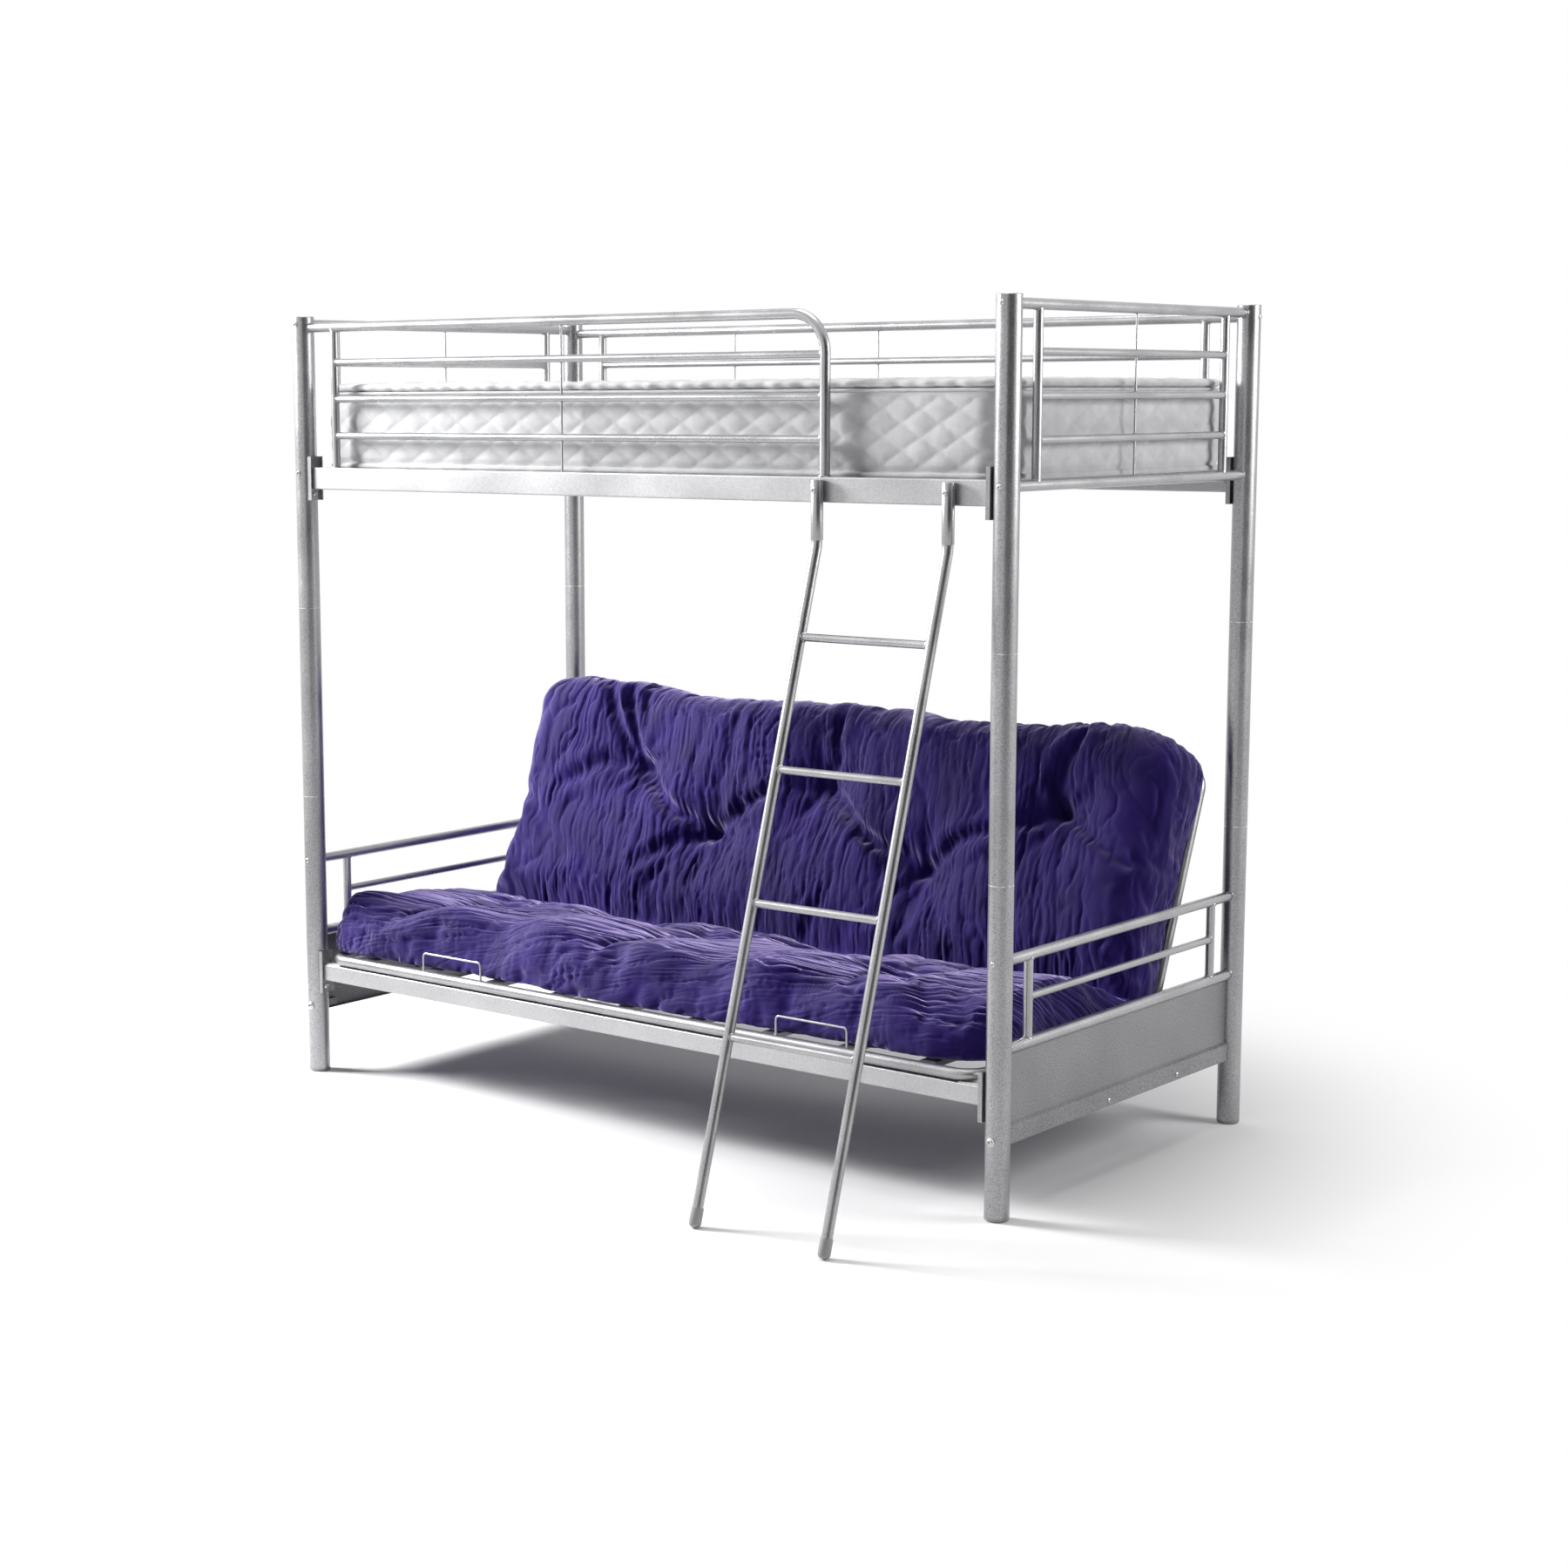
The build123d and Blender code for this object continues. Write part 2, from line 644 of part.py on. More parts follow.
# Guide tracks: channels bolted inside the panels on two stepped tabs
web_x = half_length - panel_half - weld_gap
tab_x = strip_x - panel_half - weld_gap
block_reach = block_length / 2 + running_gap
track_stop_front = block_place - seat_travel - block_reach - track_thickness
track_stop_back = block_place + block_reach
for side, way in (("left", -1), ("right", 1)):
    tab_outline = (
        (web_x, track_height - track_outer / 2 + track_thickness),
        (web_x, track_tab_top),
        (tab_x, track_tab_top - track_tab_step),
        (tab_x, panel_bottom + panel_thickness + weld_gap),
        (tab_x - track_thickness, panel_bottom + panel_thickness + weld_gap),
        (tab_x - track_thickness, track_tab_top - track_tab_step - track_thickness / 2),
        (web_x - track_thickness, track_tab_top - track_thickness / 2),
        (web_x - track_thickness, track_height - track_outer / 2 + track_thickness),
    )
    with BuildPart() as guide_track:
        with BuildSketch(Plane.XZ.offset(-(front_y + track_front))):
            with Locations((way * (web_x - track_depth / 2), track_height)):
                Rectangle(track_depth, track_outer)
            with Locations((way * (web_x - track_thickness - track_depth / 2), track_height)):
                Rectangle(track_depth, track_outer - 2 * track_thickness, mode=Mode.SUBTRACT)
        extrude(amount=track_front - track_back)
        # pressed stops at both ends of the block's run
        for stop_y in (track_stop_front, track_stop_back):
            with BuildSketch(Plane.XZ.offset(-(front_y + stop_y))):
                with Locations((way * (web_x - track_depth / 2), track_height)):
                    Rectangle(track_depth, track_outer)
            extrude(amount=-track_thickness)
        for tab_y in tab_places:
            with BuildSketch(Plane.XZ.offset(-(tab_y - track_tab_width / 2))):
                with BuildLine():
                    Polyline(*[(way * x, z) for x, z in tab_outline], close=True)
                make_face()
            extrude(amount=-track_tab_width)
        nut_x = way * (tab_x - track_thickness)
        with BuildSketch(*[face_side(nut_x, y, track_bolt_height, -way) for y in tab_places]):
            RegularPolygon(radius=track_nut_radius, side_count=6)
        extrude(amount=track_nut_height)
        add(track_holes, mode=Mode.SUBTRACT)
    save(guide_track.part, f"{side}_guide_track")

# Bolts that hold the guide tracks, with their heads outside on the strip
save(
    bolt_group(
        track_bolt_planes, frame_bolt_width, track_bolt_length, frame_head_radius, frame_head_height
    ),
    "track_bolts",
)

# Nylon pads on both rails: the seat's side tubes slide over the front ones,
# and the back's side tubes lie on the rear ones when it is folded flat
with BuildPart() as seat_glides:
    with BuildSketch(Plane.XY.offset(lower_rail_top)):
        for rail_y in (front_y, back_y):
            with Locations(*[(way * (futon_half_width - glide_offset), rail_y) for way in (-1, 1)]):
                Rectangle(glide_length, side_rail_width - 2 * side_rail_corner)
    extrude(amount=glide_thickness)
save(seat_glides.part, "seat_glides")

# Ladder: two bent stiles with a wider sleeve at the top, and the rungs between them
foot_y = front_y - ladder_reach
ladder_down = (0, -sin(ladder_lean), -cos(ladder_lean))
foot_planes = [
    Plane(origin=(x, foot_y, ladder_foot_radius), x_dir=(1, 0, 0), z_dir=ladder_down)
    for x in stile_places.values()
]
stile_end = (
    foot_y + ladder_foot_length * sin(ladder_lean),
    ladder_foot_radius + ladder_foot_length * cos(ladder_lean),
)
with BuildPart() as ladder_frame:
    for stile_x in stile_places.values():
        with BuildLine(Plane.YZ.offset(stile_x)) as stile_line:
            FilletPolyline(
                (ladder_y, ladder_sleeve_top),
                (ladder_y, ladder_bend_height),
                stile_end,
                radius=ladder_bend_radius,
            )
        with BuildSketch(Plane(origin=(stile_x, ladder_y, ladder_sleeve_top), z_dir=(0, 0, -1))):
            RegularPolygon(radius=ladder_stile_radius, side_count=tube_sides)
        sweep(path=stile_line.wires()[0])
    with BuildSketch(Plane.XY.offset(ladder_sleeve_top - ladder_sleeve_length)):
        with Locations(*[(x, ladder_y) for x in stile_places.values()]):
            RegularPolygon(radius=ladder_sleeve_radius, side_count=tube_sides)
    extrude(amount=ladder_sleeve_length)
    with BuildSketch(Plane.YZ.offset(stile_places["left"])):
        for step in range(rung_count):
            rung_z = bottom_rung_height + step * rung_pitch
            with Locations((foot_y + (rung_z - ladder_foot_radius) * ladder_slope, rung_z)):
                RegularPolygon(radius=rung_radius, side_count=rail_sides)
    extrude(amount=ladder_width)
    add(ladder_holes, mode=Mode.SUBTRACT)
save(ladder_frame.part, "ladder_frame")

# Ladder feet: caps over the ends of the stiles, with a tapered nose whose edge meets the floor
nose_radius = (ladder_foot_radius - ladder_foot_nose * cos(ladder_lean)) / sin(ladder_lean)
nose_taper = degrees(atan((ladder_foot_radius - nose_radius) / ladder_foot_nose))
with BuildPart() as ladder_feet:
    with BuildSketch(*foot_planes):
        RegularPolygon(radius=ladder_foot_radius, side_count=tube_sides)
    extrude(amount=-ladder_foot_length)
    with BuildSketch(*foot_planes):
        RegularPolygon(radius=ladder_foot_radius, side_count=tube_sides)
    extrude(amount=ladder_foot_nose, taper=nose_taper)
save(ladder_feet.part, "ladder_feet")

# Ladder bolts, through the sleeves into the side rail
save(
    bolt_group(
        ladder_bolt_planes, frame_bolt_width, ladder_bolt_length, frame_head_radius, frame_head_height
    ),
    "ladder_bolts",
)


def loft_sections(planes, outlines):
    """Loft one closed form through outlines of lines and arcs on the given planes."""
    with BuildPart() as form:
        for plane, outline in zip(planes, outlines):
            with BuildSketch(plane):
                with BuildLine():
                    start = outline[0]
                    for step in outline[1:]:
                        if len(step) == 1:
                            Line(start, step[0])
                        else:
                            ThreePointArc(start, *step)
                        start = step[-1]
                make_face()
        loft(ruled=True)
    return form.part


# Upper mattress: crowned, with sides that swell between drawn-in edges
round_share = 1 - sqrt(2) / 2
mattress_bottom = upper_rail_top - slat_top_drop + running_gap
mattress_planes = []
mattress_outlines = []
mattress_shares = (
    (-1.0, 0.93),
    (-0.985, 0.985),
    (-0.955, 1.0),
    (0, 1.0),
    (0.955, 1.0),
    (0.985, 0.985),
    (1.0, 0.93),
)
for length_share, full_share in mattress_shares:
    half = mattress_half_width * full_share - mattress_bulge
    low = mattress_height * (1 - full_share)
    high = mattress_height * full_share
    corner = mattress_edge * full_share
    mattress_planes.append(
        Plane(
            origin=(mattress_half_length * length_share, middle_y, mattress_bottom),
            x_dir=(0, 1, 0),
            z_dir=(1, 0, 0),
        )
    )
    side_mid = (low + high - corner) / 2
    mattress_outlines.append(
        (
            (-half, low),
            ((half, low),),
            ((half + mattress_bulge, side_mid), (half, high - corner)),
            ((half - corner * round_share, high - corner * round_share), (half - corner, high)),
            ((0, high + mattress_crown), (corner - half, high)),
            ((corner * round_share - half, high - corner * round_share), (-half, high - corner)),
            ((-half - mattress_bulge, side_mid), (-half, low)),
        )
    )
save(loft_sections(mattress_planes, mattress_outlines), "upper_mattress")

# Futon frame: the seat lies level, the back leans; both are drawn in their own plane
hinge_y = front_y + hinge_place
futon_height = lower_rail_top + glide_thickness + running_gap + futon_tube_radius
lean = radians(recline_angle)
seat_plane = Plane(origin=(0, hinge_y, futon_height), x_dir=(-1, 0, 0), z_dir=(0, 0, 1))
back_plane = Plane(
    origin=(0, hinge_y, futon_height), x_dir=(1, 0, 0), z_dir=(0, -sin(lean), cos(lean))
)
seat_depth = hinge_place - seat_front_setback
seat_pad_reach = seat_depth - seat_pad_setback


def tube_across(plane, place, reach):
    """Plane at one end of a straight tube that runs along X at this place."""
    return Plane(
        origin=plane.from_local_coords((-reach, place, 0)), x_dir=plane.y_dir, z_dir=plane.x_dir
    )


def futon_frame(plane, depth, ear_offset):
    """A tube bent round three sides, closed by a straight tube that carries the hinge ears."""
    start = plane.from_local_coords((-futon_half_width, futon_tube_end, 0))
    with BuildPart() as piece:
        with BuildLine(plane) as frame_line:
            FilletPolyline(
                (-futon_half_width, futon_tube_end),
                (-futon_half_width, depth),
                (futon_half_width, depth),
                (futon_half_width, futon_tube_end),
                radius=futon_corner_radius,
            )
        with BuildSketch(Plane(origin=start, x_dir=plane.x_dir, z_dir=plane.y_dir)):
            RegularPolygon(radius=futon_tube_radius, side_count=tube_sides)
        sweep(path=frame_line.wires()[0])
        with BuildSketch(tube_across(plane, hinge_tube_distance, futon_half_width)):
            RegularPolygon(radius=futon_tube_radius, side_count=tube_sides)
        extrude(amount=2 * futon_half_width)
        for hinge_x in hinge_places:
            with BuildSketch(tube_across(plane, 0, hinge_ear_thickness / 2 - ear_offset - hinge_x)):
                RegularPolygon(radius=hinge_ear_radius, side_count=plug_sides)
                with Locations((hinge_tube_distance / 2, 0)):
                    Rectangle(hinge_tube_distance, hinge_ear_radius)
            extrude(amount=hinge_ear_thickness)
        with BuildSketch(tube_across(plane, 0, futon_half_width)):
            Circle(hinge_pin_radius + hinge_pin_clearance)
        extrude(amount=2 * futon_half_width, mode=Mode.SUBTRACT)
    return piece.part


def frame_slats(plane, depth):
    """Pressed slats between the hinge-side tube and the far tube of a frame."""
    top = futon_tube_radius - futon_slat_sink
    middle = top - futon_slat_height / 2
    section = Plane(
        origin=plane.from_local_coords((0, hinge_tube_distance + futon_tube_radius + weld_gap, 0)),
        x_dir=plane.x_dir,
        z_dir=-plane.y_dir,
    )
    with BuildPart() as slats:
        with BuildSketch(section):
            with Locations((0, middle)):
                with GridLocations(futon_slat_pitch, futon_slat_height, futon_slat_count, 1):
                    Rectangle(futon_slat_width, futon_slat_height)
            with Locations((0, middle - futon_slat_thickness / 2)):
                with GridLocations(futon_slat_pitch, futon_slat_height, futon_slat_count, 1):
                    Rectangle(
                        futon_slat_width - 2 * futon_slat_thickness,
                        futon_slat_height - futon_slat_thickness,
                        mode=Mode.SUBTRACT,
                    )
        extrude(amount=hinge_tube_distance + 2 * (futon_tube_radius + weld_gap) - depth)
    return slats.part


hinge_places = (-hinge_spacing, hinge_spacing)
ear_offset = (hinge_side_gap + hinge_ear_thickness) / 2

save(futon_frame(seat_plane, seat_depth, ear_offset), "seat_frame")
save(frame_slats(seat_plane, seat_depth), "seat_slats")
save(futon_frame(back_plane, back_length, ear_offset), "back_frame")
save(frame_slats(back_plane, back_length), "back_slats")

# Hinge rivets, through both ears of each hinge, headed at both ends
pin_half = ear_offset + hinge_ear_thickness / 2 + running_gap
with BuildPart() as hinge_rivets:
    with BuildSketch(*[face_side(x - pin_half, hinge_y, futon_height, 1) for x in hinge_places]):
        Circle(hinge_pin_radius)
    extrude(amount=2 * pin_half)
    for way in (-1, 1):
        with BuildSketch(*[face_side(x + way * pin_half, hinge_y, futon_height, way) for x in hinge_places]):
            RegularPolygon(radius=hinge_head_radius, side_count=head_sides)
        extrude(amount=hinge_head_thickness)
save(hinge_rivets.part, "hinge_rivets")

# Wire stops on the seat's front tube that keep the mattress from sliding off
seat_front_y = front_y + seat_front_setback
stop_top = futon_height + futon_tube_radius + stop_rise
with BuildPart() as mattress_stops:
    for stop_x in (-stop_place, stop_place):
        with BuildLine(Plane.XZ.offset(-seat_front_y)) as stop_line:
            FilletPolyline(
                (stop_x - stop_width / 2, futon_height),
                (stop_x - stop_width / 2, stop_top),
                (stop_x + stop_width / 2, stop_top),
                (stop_x + stop_width / 2, futon_height),
                radius=stop_corner,
            )
        wire_start = (stop_x - stop_width / 2, seat_front_y, futon_height)
        with BuildSketch(Plane(origin=wire_start, z_dir=(0, 0, 1))):
            RegularPolygon(radius=stop_wire_radius, side_count=stop_sides)
        sweep(path=stop_line.wires()[0])
    with BuildSketch(Plane.YZ.offset(-half_length)):
        with Locations((seat_front_y, futon_height)):
            Circle(futon_tube_radius)
    extrude(amount=bed_length, mode=Mode.SUBTRACT)
save(mattress_stops.part, "mattress_stops")

# Legs under the seat's side tubes, each with a pin that points into its track
leg_x = futon_half_width + leg_setback
block_half = block_thickness / 2
block_x = web_x - track_thickness - running_gap - block_half
leg_y = front_y + block_place
with BuildPart() as seat_legs:
    for way in (-1, 1):
        with BuildSketch(Plane.YZ.offset(way * leg_x)):
            with Locations((leg_y, (futon_height + track_height - leg_drop) / 2)):
                Rectangle(leg_width, futon_height - track_height + leg_drop)
        extrude(amount=leg_thickness / 2, both=True)
        with BuildSketch(face_side(way * leg_x, leg_y, track_height, way)):
            RegularPolygon(radius=block_pin_radius, side_count=head_sides)
        extrude(amount=block_x + block_half - leg_x)
    with BuildSketch(Plane.XZ.offset(-front_y)):
        with Locations((-futon_half_width, futon_height), (futon_half_width, futon_height)):
            Circle(futon_tube_radius)
    extrude(amount=-bed_depth, mode=Mode.SUBTRACT)
save(seat_legs.part, "seat_legs")

# Nylon blocks on those pins, which run in the tracks
block_height = track_outer - 2 * track_thickness - 2 * running_gap
with BuildPart() as track_blocks:
    for way in (-1, 1):
        with BuildSketch(Plane.YZ.offset(way * block_x)):
            with Locations((leg_y, track_height)):
                Rectangle(block_length, block_height)
                RegularPolygon(
                    radius=block_pin_radius + hinge_pin_clearance, side_count=head_sides, mode=Mode.SUBTRACT
                )
        extrude(amount=block_half, both=True)
save(track_blocks.part, "track_blocks")


# Futon mattress: two soft slabs that meet on the plane that halves the fold
half_fold = radians(recline_angle / 2)
shoulder_reach_share = 0.8
shoulder_drop_share = 0.25
underside_share = 0.7
pad_shares = (
    (-1.0, 0.70, 0.955),
    (-0.985, 0.86, 0.985),
    (-0.95, 0.96, 1.0),
    (0, 1.0, 0.988),
    (0.95, 0.96, 1.0),
    (0.985, 0.86, 0.985),
    (1.0, 0.70, 0.955),
)


def futon_pad(reach, thickness, along, normal, tufts):
    """One half of the futon mattress: crowned, tufted, cut on the fold plane."""
    base = futon_tube_radius + pad_lift
    facing = Vector(*along).cross(Vector(*normal))
    planes = []
    outlines = []
    for length_share, thick_share, reach_share in pad_shares:
        low = base + thickness * (1 - thick_share) / 2
        high = base + thickness * (1 + thick_share) / 2
        far = reach * reach_share
        edge = pad_edge * thick_share
        near_low = low * tan(half_fold) + pad_fold_gap
        near_high = (high - edge) * tan(half_fold) + pad_fold_gap
        crown_start = near_high + edge * 2
        crown_mid = (crown_start + far - edge) / 2
        planes.append(
            Plane(
                origin=(futon_mattress_half_width * length_share, hinge_y, futon_height),
                x_dir=along,
                z_dir=facing,
            )
        )
        outlines.append(
            (
                (near_low, low),
                ((near_high, high - edge),),
                ((near_high + edge * shoulder_reach_share, high - edge * shoulder_drop_share),),
                ((crown_start, high),),
                ((crown_mid, high + pad_crown * thick_share),),
                ((far - edge, high),),
                ((far - edge * round_share, high - edge * round_share),),
                ((far, (low + high) / 2),),
                ((far - edge * round_share, low + edge * round_share),),
                ((far - edge * underside_share, low),),
                ((near_low, low),),
            )
        )
    slab = loft_sections(planes, outlines)
    with BuildPart() as pad:
        add(slab)
        for tuft_x, distance in tufts:
            surface = base + thickness + pad_crown
            tuft_origin = Vector(tuft_x, hinge_y, futon_height)
            tuft_origin = tuft_origin + Vector(*along) * distance + Vector(*normal) * surface
            with BuildSketch(Plane(origin=tuft_origin, x_dir=(1, 0, 0), z_dir=normal)):
                RegularPolygon(radius=tuft_radius, side_count=tuft_sides)
            with BuildSketch(
                Plane(origin=tuft_origin - Vector(*normal) * tuft_depth, x_dir=(1, 0, 0), z_dir=normal)
            ):
                RegularPolygon(radius=tuft_button_radius, side_count=tuft_sides)
            loft(mode=Mode.SUBTRACT)
    return pad.part


seat_tufts = []
back_tufts = []
for index, column in enumerate(tuft_columns):
    near_row = index % 2 == 1
    seat_tufts.append((column - tuft_offset, seat_tuft_near if near_row else seat_tuft_far))
    back_tufts.append((column + tuft_offset, back_tuft_near if near_row else back_tuft_far))

save(
    futon_pad(seat_pad_reach, seat_pad_thickness, (0, -1, 0), (0, 0, 1), seat_tufts),
    "seat_pad",
)
save(
    futon_pad(
        back_pad_reach, back_pad_thickness,
        (0, cos(lean), sin(lean)), (0, -sin(lean), cos(lean)), back_tufts,
    ),
    "back_pad",
)
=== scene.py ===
import math

import bmesh
import bpy
import numpy as np
from mathutils import Matrix, Vector


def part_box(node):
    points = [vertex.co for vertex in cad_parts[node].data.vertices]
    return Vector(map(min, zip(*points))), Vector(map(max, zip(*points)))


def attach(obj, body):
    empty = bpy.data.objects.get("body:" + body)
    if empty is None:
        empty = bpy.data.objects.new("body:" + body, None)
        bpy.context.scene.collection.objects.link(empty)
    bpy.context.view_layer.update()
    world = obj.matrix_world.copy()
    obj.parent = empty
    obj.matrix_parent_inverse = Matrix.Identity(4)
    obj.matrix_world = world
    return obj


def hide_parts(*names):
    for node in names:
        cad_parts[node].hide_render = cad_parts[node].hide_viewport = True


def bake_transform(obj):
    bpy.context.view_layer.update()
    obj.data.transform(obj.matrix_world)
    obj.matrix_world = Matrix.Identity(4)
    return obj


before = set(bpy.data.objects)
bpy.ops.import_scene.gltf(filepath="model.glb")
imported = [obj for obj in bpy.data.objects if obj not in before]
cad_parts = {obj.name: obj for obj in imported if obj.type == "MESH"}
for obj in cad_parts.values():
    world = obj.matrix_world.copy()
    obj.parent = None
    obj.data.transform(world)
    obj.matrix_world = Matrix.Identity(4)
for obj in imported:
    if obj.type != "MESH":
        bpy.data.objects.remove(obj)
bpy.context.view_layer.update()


# The set: a plain pale floor and white surroundings, lit by a large softbox from the
# left, a weaker one from the right and one high overhead. A dark screen behind the
# camera shows only in the paint's reflections, as the dark end of a studio does.
def surface(name):
    """A new material with its nodes, its links and its shader."""
    material = bpy.data.materials.new(name)
    material.use_nodes = True
    tree = material.node_tree
    return material, tree.nodes, tree.links, tree.nodes["Principled BSDF"]


def set_inputs(node, values):
    """Give a node's inputs their values."""
    for name, value in values.items():
        node.inputs[name].default_value = value


def join(links, wires):
    """Join sockets: from a node's output to another node's input."""
    for source, output, target, socket in wires:
        links.new(source.outputs[output], target.inputs[socket])


def add_range(nodes, low, high, low_result, high_result):
    """Straight line from one pair of values to another."""
    line = nodes.new("ShaderNodeMapRange")
    set_inputs(line, {"From Min": low, "From Max": high})
    set_inputs(line, {"To Min": low_result, "To Max": high_result})
    return line


def seen_directly(nodes, links):
    """1 for rays from the camera and from mirror-like or clear surfaces, and otherwise 0."""
    rays = nodes.new("ShaderNodeLightPath")
    first = nodes.new("ShaderNodeMath")
    first.operation = "MAXIMUM"
    second = nodes.new("ShaderNodeMath")
    second.operation = "MAXIMUM"
    join(links, (
        (rays, "Is Camera Ray", first, 0), (rays, "Is Glossy Ray", first, 1), (first, 0, second, 0),
        (rays, "Is Transmission Ray", second, 1),
    ))
    return second.outputs[0]


def flat_panel(name, centre, facing, width, height, material):
    """A flat screen of the set, not part of the bed."""
    bpy.ops.mesh.primitive_plane_add(size=1, location=centre)
    panel = bpy.context.object
    panel.name = name
    panel.scale = (width, height, 1)
    panel.rotation_euler = Vector(facing).to_track_quat("Z", "Y").to_euler()
    panel.data.materials.append(material)
    return panel


floor_paint, nodes, links, shader = surface("studio_floor_paint")
set_inputs(shader, {
    "Base Color": (0.84, 0.84, 0.845, 1), "Roughness": 0.9, "Specular IOR Level": 0.0,
})
floor_glow = nodes.new("ShaderNodeEmission")
floor_both = nodes.new("ShaderNodeAddShader")
floor_share = nodes.new("ShaderNodeMath")
floor_share.operation = "MULTIPLY"
floor_share.inputs[1].default_value = 0.045
far_white = nodes.new("ShaderNodeEmission")
floor_place = nodes.new("ShaderNodeTexCoord")
from_bed = nodes.new("ShaderNodeVectorMath")
from_bed.operation = "DISTANCE"
from_bed.inputs[1].default_value = (0.20, 0.0, 0.0)
white_from = add_range(nodes, 1.15, 2.1, 0.0, 1.0)
white_from.interpolation_type = "SMOOTHSTEP"
white_share = nodes.new("ShaderNodeMath")
white_share.operation = "MULTIPLY"
floor_mix = nodes.new("ShaderNodeMixShader")
direct = seen_directly(nodes, links)
links.new(floor_place.outputs["Object"], from_bed.inputs[0])
links.new(from_bed.outputs["Value"], white_from.inputs["Value"])
links.new(direct, white_share.inputs[0])
links.new(white_from.outputs["Result"], white_share.inputs[1])
links.new(direct, floor_share.inputs[0])
join(links, (
    (floor_share, 0, floor_glow, "Strength"), (shader, 0, floor_both, 0),
    (floor_glow, 0, floor_both, 1), (white_share, 0, floor_mix, 0), (floor_both, 0, floor_mix, 1),
    (far_white, 0, floor_mix, 2),
))
links.new(floor_mix.outputs[0], nodes["Material Output"].inputs["Surface"])
floor = flat_panel("studio_floor", (0, 0, 0), (0, 0, 1), 1, 1, floor_paint)
floor.data.transform(Matrix.Scale(60, 4))

screen_cloth, nodes, links, shader = surface("studio_screen_cloth")
set_inputs(shader, {"Base Color": (0.03, 0.03, 0.03, 1), "Roughness": 1.0})
dark_screen = flat_panel(
    "studio_dark_screen", (7.9, -5.6, 3.0), (-0.82, 0.58, 0.0), 11.0, 9.0, screen_cloth
)
dark_screen.visible_camera = False
dark_screen.visible_shadow = False
dark_screen.visible_diffuse = False

sky = bpy.data.worlds.new("studio_surroundings")
bpy.context.scene.world = sky
sky.use_nodes = True
nodes, links = sky.node_tree.nodes, sky.node_tree.links
plain_light = nodes["Background"]
set_inputs(plain_light, {"Color": (1, 1, 1, 1), "Strength": 0.09})
white_wall = nodes.new("ShaderNodeBackground")
set_inputs(white_wall, {"Color": (1, 1, 1, 1), "Strength": 1.0})
sky_mix = nodes.new("ShaderNodeMixShader")
links.new(seen_directly(nodes, links), sky_mix.inputs[0])
links.new(plain_light.outputs[0], sky_mix.inputs[1])
links.new(white_wall.outputs[0], sky_mix.inputs[2])
links.new(sky_mix.outputs[0], nodes["World Output"].inputs["Surface"])


def softbox(name, place, target, size, power):
    """One square area lamp aimed at a point."""
    lamp = bpy.data.lights.new(name, "AREA")
    lamp.shape = "SQUARE"
    lamp.size = size
    lamp.energy = power
    holder = bpy.data.objects.new(name, lamp)
    holder.location = place
    holder.rotation_euler = (Vector(target) - Vector(place)).to_track_quat("-Z", "Y").to_euler()
    bpy.context.scene.collection.objects.link(holder)


softbox("left_softbox", (-3.4, -1.6, 2.7), (-0.3, 0.1, 0.6), 1.3, 340)
softbox("right_softbox", (3.7, 1.6, 2.2), (0.9, 0.0, 0.9), 1.5, 65)
softbox("overhead_softbox", (-0.5, 0.2, 9.0), (0.0, 0.0, 0.0), 5.0, 400)

bpy.context.scene.view_settings.view_transform = "Standard"
yaw = math.radians(40.02)
pitch = math.radians(8.32)
roll = -0.0046
flat = math.cos(pitch)
ahead = Vector((-math.sin(yaw) * flat, math.cos(yaw) * flat, -math.sin(pitch)))
level = Vector((math.cos(yaw), math.sin(yaw), 0))
rightward = math.cos(roll) * level + math.sin(roll) * level.cross(ahead)
upward = rightward.cross(ahead)
lens = bpy.data.cameras.new("photo_camera")
lens.sensor_width = 36
lens.lens = 62.46
lens.shift_x = 0.0828
lens.shift_y = 0.0081
camera = bpy.data.objects.new("photo_camera", lens)
camera_place = (3.8138, -4.70686, 1.615)
turned = Matrix((rightward, upward, -ahead)).transposed().to_4x4()
camera.matrix_world = Matrix.Translation(camera_place) @ turned
bpy.context.scene.collection.objects.link(camera)
bpy.context.scene.camera = camera


# Posts: steel tube of 50.8 mm in three lengths, pushed together on inner spigots and
# powder coated in satin silver. A thin bright edge shows where two lengths meet.
def add_noise(nodes, scale, detail=2.0, roughness=0.5):
    """Noise texture."""
    noise = nodes.new("ShaderNodeTexNoise")
    set_inputs(noise, {"Scale": scale, "Detail": detail, "Roughness": roughness})
    return noise


def add_ramp(nodes, low, low_tint, high, high_tint):
    """Colour ramp between two tints."""
    ramp = nodes.new("ShaderNodeValToRGB")
    for element, place, tint in zip(ramp.color_ramp.elements, (low, high), (low_tint, high_tint)):
        element.position = place
        element.color = (*tint, 1)
    return ramp


def add_multiply(nodes, factor=1.0):
    """One colour multiplied by another."""
    mix = nodes.new("ShaderNodeMix")
    mix.data_type = "RGBA"
    mix.blend_type = "MULTIPLY"
    mix.inputs["Factor"].default_value = factor
    return mix


def add_bump(nodes, strength, distance):
    """Bump from a height."""
    bump = nodes.new("ShaderNodeBump")
    set_inputs(bump, {"Strength": strength, "Distance": distance})
    return bump


